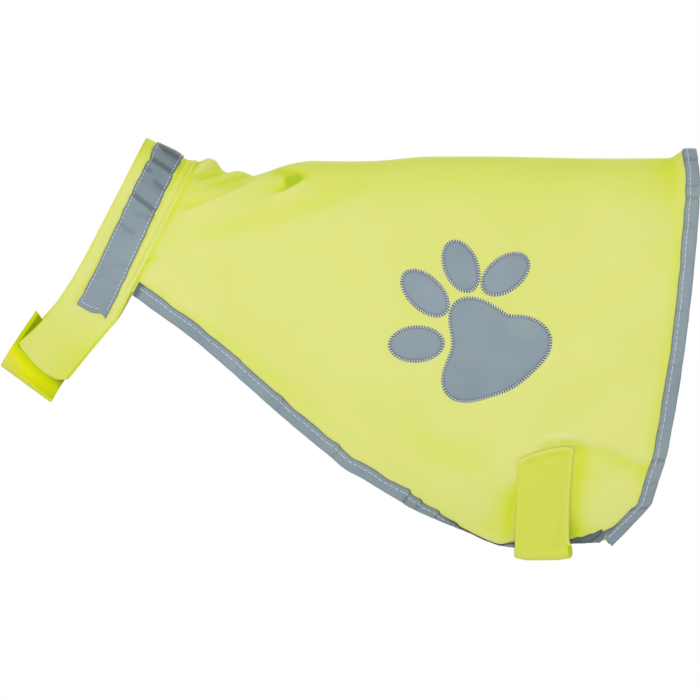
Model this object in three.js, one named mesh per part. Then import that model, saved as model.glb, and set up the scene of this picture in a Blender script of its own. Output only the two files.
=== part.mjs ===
// Dog safety vest: one back panel that wraps the body from the neck to the tail, a neck band whose
// two tails close at the throat, a belly strap, reflective bindings, a reflective neck tape and a
// reflective paw sewn on the left flank.
//
// Millimetres. +X runs toward the tail, -Y is the wearer's left side and +Z is up. The origin is on
// the inside of the back panel, on the spine, where the wearer's back carries the vest.
//
// Two surfaces carry every piece: the neck surface, a slanted egg-shaped ring, and the panel
// surface, a patch between the neck seam, the spine, the rear edge and the hem. Both give the
// middle of the cloth, and what is sewn on is made from their points, moved out.

import * as THREE from "three";

// ---------------------------------------------------------------- walls and gaps
const CLOTH_WALL = 1.2;
const TRIM_WALL = 1.0;
const SEAM_GAP = 0.3;
const BINDING_WIDTH = 10.6;
const BINDING_GAP = 0.55;
const HEM_BINDING_START = 1.2;                // clear of the neck band
const HEM_BINDING_STOP = 7;                   // clear of the rear binding's square end
const REAR_BINDING_OVERHANG = 6.5;

// ---------------------------------------------------------------- neck
const BAND_WIDTH = 48.5;
const NAPE = { x: -228.4, z: 6.4 };           // middle of the band on the spine
const NECK_REACH = 237;                       // from the nape to the throat, along the side path
const THROAT_SKEW = 0.2;                      // the throat fold lies askew to the band
const NECK_HALF_WIDTH = 56;
const NECK_FLARE = 3;                         // wider at the shoulder edge, narrower at the head edge
const NECK_EGG = 0.22;                        // broad at the nape, narrow at the throat
const LEFT_TAIL_REACH = 212;
const LEFT_TAIL_ROUND = 5;                    // how far the rounded end bulges past its corners
const RIGHT_TAIL_RETURN = 55.5;               // the right tail's run back under the left one
const RIGHT_TAIL_SLANT = 0.2;                 // its end is cut askew, longer at the head edge
const LOOP_TAPE_START = 34;                   // before the throat, on the right side
const SEAM_REACH = 122;                       // the neck seam's length, along the side path
const SEAM_ACROSS = BAND_WIDTH / 2 + 0.6;     // the panel's neck edge, just behind the band's
const NECK_TAPE_WIDTH = 25.5;
const NECK_TAPE_REACH = 154;
const NECK_TAPE_DRIFT = { nape: -1.5, end: 4.7, power: 3 };
const TAIL_DROP = { start: 120, full: 168 };  // angles between which the right side goes under the left

// Slope of the band below level, in degrees, by distance from the nape.
const neckSlopes = [
  { at: 0, slope: 65 },
  { at: 60, slope: 63 },
  { at: 110, slope: 62 },
  { at: 160, slope: 54.5 },
  { at: 212, slope: 48 },
  { at: 245, slope: 46.5 },
];

// ---------------------------------------------------------------- panel
// The general figure that the panel wraps, by share of the way from the neck seam to the rear edge:
// the angle round the body at the hem, the half width, and how much broader the top is.
const figure = [
  { at: 0, hemAngle: 94, halfWidth: 59, egg: 0.22 },
  { at: 0.25, hemAngle: 106, halfWidth: 69, egg: 0.13 },
  { at: 0.5, hemAngle: 125, halfWidth: 79, egg: 0.07 },
  { at: 0.8, hemAngle: 145, halfWidth: 86, egg: 0.05 },
  { at: 1, hemAngle: 146, halfWidth: 85, egg: 0.05 },
];

// Height of the spine line, by the same share.
const spineLine = [
  { at: 0, z: -3.8 },
  { at: 0.25, z: -3.4 },
  { at: 0.36, z: -3 },
  { at: 0.45, z: 0.4 },
  { at: 0.4865, z: 0.6 },
  { at: 0.6, z: 0.6 },
  { at: 0.8, z: -1 },
  { at: 1, z: -0.6 },
];

// The hem from the neck corner, down the front and along the belly, by share of its length.
const hemLine = [
  { at: 0.151, x: -203.5, z: -158 },
  { at: 0.435, x: -101.5, z: -245.3 },
  { at: 0.608, x: -33.5, z: -290.4 },
  { at: 0.805, x: 51, z: -329 },
  { at: 0.902, x: 100, z: -330 },
  { at: 1, x: 149.5, z: -325 },
];

// The rear edge from the spine down to the belly corner, by share of its height.
const rearLine = [
  { at: 0, x: 217.5 },
  { at: 0.085, x: 218.7 },
  { at: 0.32, x: 212.8 },
  { at: 0.475, x: 206.8 },
  { at: 0.63, x: 199.3 },
  { at: 0.79, x: 190.8 },
  { at: 0.91, x: 178 },
  { at: 1, x: 149.5 },
];

// Where the spine sinks between the neck seam and the shoulders, by place along the spine.
const napeSag = [
  { at: -206, rise: 0 },
  { at: -198, rise: 2.4 },
  { at: -191, rise: 0 },
  { at: -184, rise: -11 },
  { at: -171, rise: -9.2 },
  { at: -159, rise: -13.6 },
  { at: -141, rise: -8.6 },
  { at: -120, rise: -2 },
  { at: -95, rise: 0 },
];
const NAPE_SAG_LEAN = 2;                      // the sag drifts this far forward for each mm it drops
const NAPE_SAG_DEPTH = 26;

// The largest folds on each flank, from their upper rear end to their lower front end. A step is a
// fold whose lower side stands over its upper side; a valley is a soft trough.
const neckFolds = [
  { kind: "step", fromX: -152, fromZ: -14, toX: -226, toZ: -50, width: 7, height: 4.5 },
  { kind: "valley", fromX: -112, fromZ: -8, toX: -144, toZ: -32, width: 8, height: 5 },
  { kind: "valley", fromX: -98, fromZ: -33, toX: -206, toZ: -68, width: 13, height: 3 },
  { kind: "valley", fromX: -46, fromZ: -14, toX: -86, toZ: -34, width: 12, height: 2.4 },
];

const REAR_LIFT = { height: 7, length: 22, crest: 8, spread: 0.55 };

// ---------------------------------------------------------------- belly strap
const STRAP = {
  front: 64.5,
  rear: 112.5,
  top: -246.5,                                // where both ends lie on the flanks
  leaves: -272,                               // below this the strap hangs clear of the panel
  cornerHalfWidth: 47,
  cornerRadius: 8,
  bottom: -341,
  gap: 0.6,                                   // between its ends and the panel
  pull: 8,                                    // how far it draws the hem in
  pullSpread: 42,
  pullFrom: -245,
};

// The belly edge curls under on both sides of the strap, between these shares of the panel.
const HEM_CURL = { depth: 9, girth: 0.92, start: 0.48, full: 0.72, end: 0.97 };

// ---------------------------------------------------------------- paw on the left flank
const toes = [
  { x: -20.4, z: -159, long: 23.8, short: 15.5, tilt: 3 },
  { x: -13.1, z: -116, long: 25, short: 14.9, tilt: -44 },
  { x: 17.3, z: -93, long: 23.8, short: 14.9, tilt: -68 },
  { x: 55.3, z: -99.9, long: 24.2, short: 14.9, tilt: 38 },
];
const PAD = { x: 48.5, z: -164, radius: 34 };
const padLobes = [
  { angle: 128, reach: 19, spread: 33 },
  { angle: 217, reach: 25, spread: 33 },
  { angle: 14, reach: 13, spread: 34 },
];

// ---------------------------------------------------------------- facets
const PANEL_COLUMNS = 30;
const PANEL_ROWS = 17;                        // from the spine to the hem, on each side
const NECK_STEP = 7.5;                        // degrees
const BAND_COLUMNS = 3;
const FRONT_CROWDING = 1.35;                  // the panel's columns crowd toward the neck

// ---------------------------------------------------------------- arithmetic
const radians = THREE.MathUtils.degToRad;
const degrees = THREE.MathUtils.radToDeg;
const lerp = THREE.MathUtils.lerp;
const smoothstep = THREE.MathUtils.smoothstep;
const bump = (distance, width) => Math.exp(-((distance / width) ** 2));

// Reads a column of a table at a place between its rows, on a smooth curve through them.
function read(table, place, column) {
  const last = table.length - 1;
  const clamped = THREE.MathUtils.clamp(place, table[0].at, table[last].at);
  let row = 0;
  while (row < last - 1 && table[row + 1].at < clamped) row += 1;
  const slope = (i) => {
    const low = table[Math.max(i - 1, 0)];
    const high = table[Math.min(i + 1, last)];
    return (high[column] - low[column]) / (high.at - low.at);
  };
  const a = table[row];
  const b = table[row + 1];
  const span = b.at - a.at;
  const t = (clamped - a.at) / span;
  const startPull = (t ** 3 - 2 * t ** 2 + t) * span * slope(row);
  const endPull = (t ** 3 - t ** 2) * span * slope(row + 1);
  return lerp(a[column], b[column], t * t * (3 - 2 * t)) + startPull + endPull;
}

// A surface's outward normal at a place, from two short steps across it.
function normalOf(surface, a, b, stepA, stepB) {
  const alongA = surface(a + stepA, b).sub(surface(a - stepA, b));
  const alongB = surface(a, b + stepB).sub(surface(a, b - stepB));
  return alongA.cross(alongB).normalize();
}

// ---------------------------------------------------------------- neck surface
// The band's middle line as seen from the side, marched down from the nape a millimetre at a time.
const neckPath = [new THREE.Vector2(NAPE.x, NAPE.z)];
for (let reach = 1; reach <= neckSlopes.at(-1).at; reach += 1) {
  const slope = radians(read(neckSlopes, reach - 0.5, "slope"));
  const step = new THREE.Vector2(-Math.cos(slope), -Math.sin(slope));
  neckPath.push(neckPath[reach - 1].clone().add(step));
}

// A place on the side path, moved across it: toward the shoulder is positive.
function neckSide(reach, across) {
  const index = Math.min(Math.floor(reach), neckPath.length - 2);
  const middle = neckPath[index].clone().lerp(neckPath[index + 1], reach - index);
  const slope = radians(read(neckSlopes, reach, "slope"));
  return middle.add(new THREE.Vector2(Math.sin(slope), -Math.cos(slope)).multiplyScalar(across));
}

const throatReach = (across) => NECK_REACH - THROAT_SKEW * across;
const angleAtReach = (reach, across) => degrees(Math.acos(1 - (2 * reach) / throatReach(across)));

// The neck ring: 0 degrees is the nape, 180 the throat, and the left side has negative angles.
function neckPoint(angle, across) {
  const turn = radians(angle);
  const reach = (throatReach(across) * (1 - Math.cos(turn))) / 2;
  const side = neckSide(reach, across);
  const halfWidth = NECK_HALF_WIDTH + (NECK_FLARE * across) / (BAND_WIDTH / 2);
  const y = halfWidth * Math.sin(turn) * (1 + NECK_EGG * Math.cos(turn));
  return new THREE.Vector3(side.x, y, side.y);
}

const neckAcross = (across, angle) => neckPoint(angle, across);

function neckLayer(angle, across, out) {
  const normal = normalOf(neckAcross, across, angle, 0.5, 0.5);
  return neckPoint(angle, across).addScaledVector(normal, out);
}

// ---------------------------------------------------------------- panel surface
const hemCorner = neckSide(SEAM_REACH, SEAM_ACROSS);
const hem = [{ at: 0, x: hemCorner.x, z: hemCorner.y }, ...hemLine];
const spineFront = neckSide(0, SEAM_ACROSS);
const rearTop = { x: rearLine[0].x, z: spineLine[spineLine.length - 1].z };
const rearBottom = hemLine[hemLine.length - 1];

// Seen from the side, the panel is a patch between its four edges: back runs from the neck seam to
// the rear edge, and drop is the share of the way from the spine to the hem.
function panelSide(back, drop) {
  const seam = neckSide(drop * SEAM_REACH, SEAM_ACROSS);
  const rear = { x: read(rearLine, drop, "x"), z: lerp(rearTop.z, rearBottom.z, drop) };
  const spine = { x: lerp(spineFront.x, rearTop.x, back), z: read(spineLine, back, "z") };
  const low = { x: read(hem, back, "x"), z: read(hem, back, "z") };
  const cornersX = lerp(
    lerp(spineFront.x, rearTop.x, back), lerp(hemCorner.x, rearBottom.x, back), drop);
  const cornersZ = lerp(
    lerp(spineFront.y, rearTop.z, back), lerp(hemCorner.y, rearBottom.z, back), drop);
  const x = lerp(seam.x, rear.x, back) + lerp(spine.x, low.x, drop) - cornersX;
  const z = lerp(seam.y, rear.z, back) + lerp(spine.z, low.z, drop) - cornersZ;
  return { x, z };
}

// The smooth panel: girth runs from -1 at the left hem over the spine to 1 at the right hem.
function smoothPanel(back, girth) {
  const hemAngle = radians(read(figure, back, "hemAngle"));
  const turn = hemAngle * girth;
  const drop = (1 - Math.cos(turn)) / (1 - Math.cos(hemAngle));
  const side = panelSide(back, drop);
  const egg = read(figure, back, "egg");
  const y = read(figure, back, "halfWidth") * Math.sin(turn) * (1 + egg * Math.cos(turn));
  return new THREE.Vector3(side.x, y, side.z);
}

// How far a fold moves the cloth out at a place, seen from the side.
function foldRise(fold, x, z) {
  const run = new THREE.Vector2(fold.toX - fold.fromX, fold.toZ - fold.fromZ);
  const offset = new THREE.Vector2(x - fold.fromX, z - fold.fromZ);
  const share = offset.dot(run) / run.lengthSq();
  const across = run.clone().normalize().cross(offset) / fold.width;
  const fade = smoothstep(share, -0.3, 0.15) * (1 - smoothstep(share, 0.75, 1.15));
  if (fold.kind === "valley") return -fold.height * fade * bump(across, 1);
  return fold.height * fade * across * Math.exp(0.5 - across ** 2 / 2);
}

// What moves the cloth out of the smooth panel: the sag at the nape, the folds and the lift of the
// rear edge on the spine.
function panelRise(back, girth, place) {
  const fall = -place.z;
  const leaned = place.x + NAPE_SAG_LEAN * fall;
  let rise = read(napeSag, leaned, "rise") * bump(Math.max(fall, 0), NAPE_SAG_DEPTH);
  for (const fold of neckFolds) rise += foldRise(fold, place.x, place.z);
  rise *= smoothstep(back, 0, 0.02);
  const behind = smoothstep(place.x, rearTop.x - REAR_LIFT.length, rearTop.x - REAR_LIFT.crest);
  return rise + REAR_LIFT.height * behind * bump(girth, REAR_LIFT.spread / 2);
}

// What moves it in toward the other flank: the belly strap's pull and the curl of the hem.
function panelTuck(back, girth, place) {
  const strapMiddle = (STRAP.front + STRAP.rear) / 2;
  const under = smoothstep(-place.z, -STRAP.pullFrom, -STRAP.bottom);
  const pull = STRAP.pull * bump(place.x - strapMiddle, STRAP.pullSpread) * under;
  const near = smoothstep(back, HEM_CURL.start, HEM_CURL.full);
  const curled = near * (1 - smoothstep(back, HEM_CURL.full, HEM_CURL.end) ** 3);
  const turned = Math.max((Math.abs(girth) - HEM_CURL.girth) / (1 - HEM_CURL.girth), 0);
  return pull + HEM_CURL.depth * curled * turned ** 2;
}

function panelPoint(back, girth) {
  const place = smoothPanel(back, girth);
  const normal = normalOf(smoothPanel, back, girth, 0.002, 0.002);
  const tuck = Math.sign(girth) * panelTuck(back, girth, place);
  const point = place.clone().addScaledVector(normal, panelRise(back, girth, place));
  return point.setY(point.y - tuck);
}

const panelNormal = (back, girth) => normalOf(panelPoint, back, girth, 0.004, 0.004);

// The panel's place (back, girth) that is seen from the side at x and z, found by Newton's method.
function panelPlaceAt(x, z, sideSign) {
  let back = 0.5;
  let girth = 0.6;
  const nudge = 1e-4;
  for (let pass = 0; pass < 12; pass += 1) {
    const here = smoothPanel(back, girth);
    const byBack = smoothPanel(back + nudge, girth).sub(here).divideScalar(nudge);
    const byGirth = smoothPanel(back, girth + nudge).sub(here).divideScalar(nudge);
    const determinant = byBack.x * byGirth.z - byBack.z * byGirth.x;
    const missX = x - here.x;
    const missZ = z - here.z;
    back += (missX * byGirth.z - missZ * byGirth.x) / determinant;
    girth += (byBack.x * missZ - byBack.z * missX) / determinant;
    back = THREE.MathUtils.clamp(back, 0, 1);
    girth = THREE.MathUtils.clamp(girth, 0.02, 1);
  }
  return { back, girth: girth * sideSign };
}

// ---------------------------------------------------------------- closed meshes
function toMesh(name, points, faces, material) {
  const geometry = new THREE.BufferGeometry();
  const positions = points.flatMap((point) => point.toArray());
  let volume = 0;
  for (const [a, b, c] of faces) {
    volume += points[a].dot(points[b].clone().cross(points[c]));
  }
  const outward = volume > 0 ? faces : faces.map(([a, b, c]) => [a, c, b]);
  geometry.setAttribute("position", new THREE.Float32BufferAttribute(positions, 3));
  geometry.setIndex(outward.flat());
  geometry.computeVertexNormals();
  const mesh = new THREE.Mesh(geometry, material);
  mesh.name = name;
  return mesh;
}

// A wall between two grids of points that have the same rows and columns.
function wallBetween(name, outer, inner, material) {
  const rows = outer.length;
  const columns = outer[0].length;
  const points = [...outer.flat(), ...inner.flat()];
  const at = (row, column, layer) => layer * rows * columns + row * columns + column;
  const faces = [];
  const quad = (a, b, c, d) => faces.push([a, b, c], [a, c, d]);
  for (let r = 0; r < rows - 1; r += 1) {
    for (let c = 0; c < columns - 1; c += 1) {
      quad(at(r, c, 0), at(r, c + 1, 0), at(r + 1, c + 1, 0), at(r + 1, c, 0));
      faces.push([at(r, c, 1), at(r + 1, c + 1, 1), at(r, c + 1, 1)]);
      faces.push([at(r, c, 1), at(r + 1, c, 1), at(r + 1, c + 1, 1)]);
    }
    quad(at(r, 0, 0), at(r + 1, 0, 0), at(r + 1, 0, 1), at(r, 0, 1));
    const end = columns - 1;
    quad(at(r, end, 0), at(r, end, 1), at(r + 1, end, 1), at(r + 1, end, 0));
  }
  for (let c = 0; c < columns - 1; c += 1) {
    quad(at(0, c, 0), at(0, c, 1), at(0, c + 1, 1), at(0, c + 1, 0));
    const end = rows - 1;
    quad(at(end, c, 0), at(end, c + 1, 0), at(end, c + 1, 1), at(end, c, 1));
  }
  return toMesh(name, points, faces, material);
}

// A folded binding over an edge: a C section in the plane of the cloth's normal and the way out
// past the edge, carried along the stations. Each station has the edge point, the leg's end point
// and the normal at both. The legs' facets are split as the panel's are: from the leg's end at one
// station to the edge at the next where legLeads is true, and the other way where it isn't.
function bindingOver(name, stations, legLeads, material) {
  const slot = CLOTH_WALL / 2 + BINDING_GAP;
  const skin = slot + TRIM_WALL;
  const section = [
    { leg: 1, past: 0, out: skin },
    { leg: 0, past: 0, out: skin },
    { leg: 0, past: skin - CLOTH_WALL / 2, out: slot },
    { leg: 0, past: skin - CLOTH_WALL / 2, out: -slot },
    { leg: 0, past: 0, out: -skin },
    { leg: 1, past: 0, out: -skin },
    { leg: 1, past: 0, out: -slot },
    { leg: 0, past: BINDING_GAP, out: -slot },
    { leg: 0, past: BINDING_GAP, out: slot },
    { leg: 1, past: 0, out: slot },
  ];
  const points = [];
  for (const station of stations) {
    const wayOut = station.edge.clone().sub(station.legEnd).normalize();
    for (const corner of section) {
      const base = corner.leg ? station.legEnd : station.edge;
      const normal = corner.leg ? station.legNormal : station.edgeNormal;
      const point = base.clone().addScaledVector(normal, corner.out);
      points.push(point.addScaledVector(wayOut, corner.past));
    }
  }
  const size = section.length;
  const faces = [];
  for (let s = 0; s < stations.length - 1; s += 1) {
    for (let i = 0; i < size; i += 1) {
      const a = s * size + i;
      const b = s * size + ((i + 1) % size);
      if (Boolean(section[i].leg) === legLeads) faces.push([a, b, b + size], [a, b + size, a + size]);
      else faces.push([a, b, a + size], [b, b + size, a + size]);
    }
  }
  const flat = section.map((c) => new THREE.Vector2(c.past - c.leg * BINDING_WIDTH, c.out));
  const last = (stations.length - 1) * size;
  const turnedUp = THREE.ShapeUtils.isClockWise(flat);
  for (const [a, b, c] of THREE.ShapeUtils.triangulateShape(flat, [])) {
    faces.push(turnedUp ? [a, b, c] : [a, c, b]);
    faces.push(turnedUp ? [last + a, last + c, last + b] : [last + a, last + b, last + c]);
  }
  return toMesh(name, points, faces, material);
}

// A flat piece sewn on the left flank: rings of an outline given by angle, moved out of the panel.
function patchOnFlank(name, centre, outline, around, rings, material) {
  const low = CLOTH_WALL / 2 + SEAM_GAP;
  const places = [centre];
  for (let ring = 1; ring <= rings; ring += 1) {
    for (let i = 0; i < around; i += 1) {
      const reach = outline((i * 360) / around);
      const share = ring / rings;
      places.push({ x: centre.x + reach.x * share, z: centre.z + reach.z * share });
    }
  }
  const lower = [];
  const upper = [];
  for (const place of places) {
    const { back, girth } = panelPlaceAt(place.x, place.z, -1);
    const normal = panelNormal(back, girth);
    lower.push(panelPoint(back, girth).addScaledVector(normal, low));
    upper.push(panelPoint(back, girth).addScaledVector(normal, low + TRIM_WALL));
  }
  const points = [...upper, ...lower];
  const under = places.length;
  const faces = [];
  const at = (ring, i) => (ring === 0 ? 0 : 1 + (ring - 1) * around + (i % around));
  for (let i = 0; i < around; i += 1) {
    for (let ring = 0; ring < rings; ring += 1) {
      const a = at(ring, i);
      const b = at(ring + 1, i);
      const c = at(ring + 1, i + 1);
      const d = at(ring, i + 1);
      faces.push([a, b, c], [under + a, under + c, under + b]);
      if (ring > 0) faces.push([a, c, d], [under + a, under + d, under + c]);
    }
    const rim = at(rings, i);
    const next = at(rings, i + 1);
    faces.push([rim, under + rim, under + next], [rim, under + next, next]);
  }
  return toMesh(name, points, faces, material);
}

// ---------------------------------------------------------------- finishes
const finish = (color, roughness) =>
  new THREE.MeshStandardMaterial({ color, roughness, metalness: 0 });
const yellowCloth = finish(0xe1e682, 0.85);
const loopPile = finish(0xd6db26, 0.95);
const reflective = finish(0x8f9ea9, 0.5);

// ---------------------------------------------------------------- neck pieces
// Rows of places on the neck surface between two angles, with a row at every whole step.
function neckAngles(from, to) {
  const angles = [from];
  for (let a = Math.ceil(from / NECK_STEP + 0.2); a * NECK_STEP < to - 0.2 * NECK_STEP; a += 1) {
    angles.push(a * NECK_STEP);
  }
  angles.push(to);
  return angles;
}

// Past the throat the right tail runs on square to the throat fold, under the left tail.
function rightTailDrift(angle, across) {
  const left = throatReach(across) * (1 + Math.cos(radians(angle))) / 2;
  const settled = angle > 180 ? 1 : bump(left, 70);
  return angle > 90 ? -THROAT_SKEW * left * settled : 0;
}

const TAIL_LAYERS = CLOTH_WALL + TRIM_WALL + 2 * SEAM_GAP;
const tailInset = (angle) => TAIL_LAYERS * smoothstep(angle, TAIL_DROP.start, TAIL_DROP.full);

// The angle at which the right tail ends, at a place across it.
function returnAngle(across) {
  const reach = NECK_REACH - RIGHT_TAIL_RETURN + RIGHT_TAIL_SLANT * across;
  return 360 - angleAtReach(reach, 0);
}

// One row of places across a tail, from the head edge to the shoulder edge.
function bandRow(placeAt, out) {
  const line = [];
  for (let c = 0; c <= BAND_COLUMNS; c += 1) {
    const across = BAND_WIDTH * (c / BAND_COLUMNS - 0.5);
    const place = placeAt(across);
    const drift = rightTailDrift(place, across);
    line.push(neckLayer(place, across + drift, out - tailInset(place)));
  }
  return line;
}

// The left tail's end is rounded.
function leftEnd(across) {
  const roundness = 1 - (across / (BAND_WIDTH / 2)) ** 2;
  return -angleAtReach(LEFT_TAIL_REACH + LEFT_TAIL_ROUND * roundness, across);
}

function neckBand() {
  const middle = neckAngles(leftEnd(0), returnAngle(BAND_WIDTH / 2)).slice(1, -1);
  const layers = [CLOTH_WALL / 2, -CLOTH_WALL / 2].map((out) => [
    bandRow(leftEnd, out),
    ...middle.map((angle) => bandRow(() => angle, out)),
    bandRow(returnAngle, out),
  ]);
  return wallBetween("neck_band", layers[0], layers[1], yellowCloth);
}

function neckLoopTape() {
  const start = angleAtReach(NECK_REACH - LOOP_TAPE_START, 0);
  const middle = neckAngles(start, returnAngle(BAND_WIDTH / 2)).slice(0, -1);
  const low = CLOTH_WALL / 2 + SEAM_GAP;
  const layers = [low + TRIM_WALL, low].map((out) => [
    ...middle.map((angle) => bandRow(() => angle, out)),
    bandRow(returnAngle, out),
  ]);
  return wallBetween("neck_loop_tape", layers[0], layers[1], loopPile);
}

function neckTape() {
  const end = angleAtReach(NECK_TAPE_REACH, 0);
  const low = CLOTH_WALL / 2 + SEAM_GAP;
  const layers = [low + TRIM_WALL, low].map((out) =>
    neckAngles(-end, end).map((angle) => {
      const share = (Math.abs(angle) / end) ** NECK_TAPE_DRIFT.power;
      const drift = lerp(NECK_TAPE_DRIFT.nape, NECK_TAPE_DRIFT.end, share);
      return [-0.5, 0, 0.5].map((side) =>
        neckLayer(angle, side * NECK_TAPE_WIDTH + drift, out - tailInset(angle)));
    }));
  return wallBetween("neck_tape", layers[0], layers[1], reflective);
}

// ---------------------------------------------------------------- panel and bindings
// The panel's grid of places. Its last column and its outer rows are one binding width from the
// rear edge and the hem, so that the bindings' legs lie on whole facets.
function panelPlaces() {
  const places = [];
  for (let r = -PANEL_ROWS; r <= PANEL_ROWS; r += 1) {
    const line = [];
    for (let c = 0; c <= PANEL_COLUMNS; c += 1) {
      const guess = r / PANEL_ROWS;
      const toRear = shareAcross(guess, "rear");
      const dense = (c / (PANEL_COLUMNS - 1)) ** FRONT_CROWDING;
      const back = c === PANEL_COLUMNS ? 1 : dense * (1 - toRear);
      const toHem = shareAcross(back, "hem");
      const inner = (r / (PANEL_ROWS - 1)) * (1 - toHem);
      const girth = Math.abs(r) === PANEL_ROWS ? Math.sign(r) : inner;
      line.push({ back, girth });
    }
    places.push(line);
  }
  return places;
}

// The share of the panel that one binding width covers, square to the hem or to the rear edge.
function shareAcross(place, edge) {
  const nudge = 0.002;
  const [back, girth] = edge === "hem" ? [place, 1 - nudge] : [1 - nudge, place];
  const here = panelPoint(back, girth);
  const byBack = panelPoint(back + nudge, girth).sub(here).divideScalar(nudge);
  const byGirth = panelPoint(back, girth + nudge).sub(here).divideScalar(nudge);
  const along = (edge === "hem" ? byBack : byGirth).clone().normalize();
  const inward = edge === "hem" ? byGirth : byBack;
  return BINDING_WIDTH / inward.cross(along).length();
}

const places = panelPlaces();
const panelGrid = places.map((line) => line.map(({ back, girth }) => panelPoint(back, girth)));
const panelNormals = places.map((line) => line.map(({ back, girth }) => panelNormal(back, girth)));

function backPanel() {
  const moved = (out) => panelGrid.map((line, r) =>
    line.map((point, c) => point.clone().addScaledVector(panelNormals[r][c], out)));
  return wallBetween("back_panel", moved(CLOTH_WALL / 2), moved(-CLOTH_WALL / 2), yellowCloth);
}

function station(row, column, legRow, legColumn) {
  return {
    edge: panelGrid[row][column],
    legEnd: panelGrid[legRow][legColumn],
    edgeNormal: panelNormals[row][column],
    legNormal: panelNormals[legRow][legColumn],
  };
}

// A station part of the way between two others.
function stationBetween(a, b, share) {
  const mixed = {};
  for (const key of Object.keys(a)) mixed[key] = a[key].clone().lerp(b[key], share);
  return mixed;
}

// The hem binding runs from just behind the neck seam to just short of the rear binding.
function hemBinding(name, hemRow, legRow, legLeads) {
  const stations = [];
  for (let c = 0; c < PANEL_COLUMNS; c += 1) stations.push(station(hemRow, c, legRow, c));
  const first = stations[0].edge.distanceTo(stations[1].edge);
  const last = stations.at(-1).edge.distanceTo(stations.at(-2).edge);
  stations[0] = stationBetween(stations[0], stations[1], HEM_BINDING_START / first);
  stations[stations.length - 1] =
    stationBetween(stations.at(-1), stations.at(-2), HEM_BINDING_STOP / last);
  return bindingOver(name, stations, legLeads, reflective);
}

// The rear binding runs over the spine from one belly corner to the other. Its ends are cut square
// to the rear edge and stand past the hem.
function rearBinding() {
  const stations = places.map((_, r) => station(r, PANEL_COLUMNS, r, PANEL_COLUMNS - 1));
  const ends = [stations.slice(0, 2), stations.slice(-2).reverse()].map(([corner, next]) => {
    const along = corner.edge.clone().sub(next.edge).normalize();
    const legX = corner.edge.x + along.z * BINDING_WIDTH;
    const legZ = corner.edge.z - along.x * BINDING_WIDTH;
    const { back, girth } = panelPlaceAt(legX, legZ, Math.sign(corner.edge.y));
    const normal = panelNormal(back, girth);
    const square = { ...corner, legEnd: panelPoint(back, girth), legNormal: normal };
    const past = { ...square };
    past.edge = square.edge.clone().addScaledVector(along, REAR_BINDING_OVERHANG);
    past.legEnd = square.legEnd.clone().addScaledVector(along, REAR_BINDING_OVERHANG);
    return [past, square];
  });
  const whole = [...ends[0], ...stations.slice(1, -1), ...ends[1].reverse()];
  return bindingOver("rear_binding", whole, true, reflective);
}

// ---------------------------------------------------------------- belly strap
// Half of the strap's line at one place along the body, from the end on the flank to the middle
// under the belly: along the panel, straight to the corner, round it and across.
function strapHalf(x) {
  const out = CLOTH_WALL + STRAP.gap;
  const line = [];
  for (const share of [0, 1 / 3, 2 / 3, 1]) {
    const { back, girth } = panelPlaceAt(x, lerp(STRAP.top, STRAP.leaves, share), 1);
    line.push(panelPoint(back, girth).addScaledVector(panelNormal(back, girth), out).setX(x));
  }
  const leave = line.at(-1);
  const radius = STRAP.cornerRadius;
  const corner = new THREE.Vector3(x, STRAP.cornerHalfWidth, STRAP.bottom + radius);
  for (const share of [1 / 4, 1 / 2, 3 / 4]) line.push(leave.clone().lerp(corner, share));
  const centreY = STRAP.cornerHalfWidth - radius;
  for (const turn of [0, 30, 60, 90]) {
    const y = centreY + radius * Math.cos(radians(turn));
    const z = corner.z - radius * Math.sin(radians(turn));
    line.push(new THREE.Vector3(x, y, z));
  }
  line.push(new THREE.Vector3(x, centreY / 2, STRAP.bottom));
  line.push(new THREE.Vector3(x, 0, STRAP.bottom));
  return line;
}

function bellyStrap() {
  const columns = [0, 0.5, 1].map((share) => {
    const right = strapHalf(lerp(STRAP.front, STRAP.rear, share));
    const left = right.map((point) => point.clone().setY(-point.y));
    return [...left, ...right.reverse().slice(1)];
  });
  const moved = (out) => columns[0].map((_, row) => columns.map((column) => {
    const before = column[Math.max(row - 1, 0)];
    const after = column[Math.min(row + 1, column.length - 1)];
    const along = after.clone().sub(before).normalize();
    const normal = new THREE.Vector3(0, along.z, -along.y).normalize();
    return column[row].clone().addScaledVector(normal, out);
  }));
  return wallBetween("belly_strap", moved(CLOTH_WALL / 2), moved(-CLOTH_WALL / 2), yellowCloth);
}

// ---------------------------------------------------------------- paw
function toeOutline(toe) {
  return (angle) => {
    const long = toe.long * Math.cos(radians(angle));
    const short = toe.short * Math.sin(radians(angle));
    const tilt = radians(toe.tilt);
    return {
      x: long * Math.cos(tilt) - short * Math.sin(tilt),
      z: long * Math.sin(tilt) + short * Math.cos(tilt),
    };
  };
}

// The pad's outline: a circle that swells toward three rounded lobes.
function padOutline(angle) {
  let radius = PAD.radius;
  for (const lobe of padLobes) {
    const turn = THREE.MathUtils.euclideanModulo(angle - lobe.angle + 180, 360) - 180;
    radius += lobe.reach * bump(turn, lobe.spread);
  }
  return { x: radius * Math.cos(radians(angle)), z: radius * Math.sin(radians(angle)) };
}

// ---------------------------------------------------------------- the vest
const vest = new THREE.Group();
vest.add(backPanel(), neckBand(), neckLoopTape(), neckTape());
vest.add(hemBinding("hem_binding_left", 0, 1, false));
vest.add(hemBinding("hem_binding_right", 2 * PANEL_ROWS, 2 * PANEL_ROWS - 1, true));
vest.add(rearBinding(), bellyStrap());
toes.forEach((toe, index) => {
  vest.add(patchOnFlank(`paw_toe_${index + 1}`, toe, toeOutline(toe), 20, 2, reflective));
});
vest.add(patchOnFlank("paw_pad", PAD, padOutline, 30, 3, reflective));

export default vest;
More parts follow.
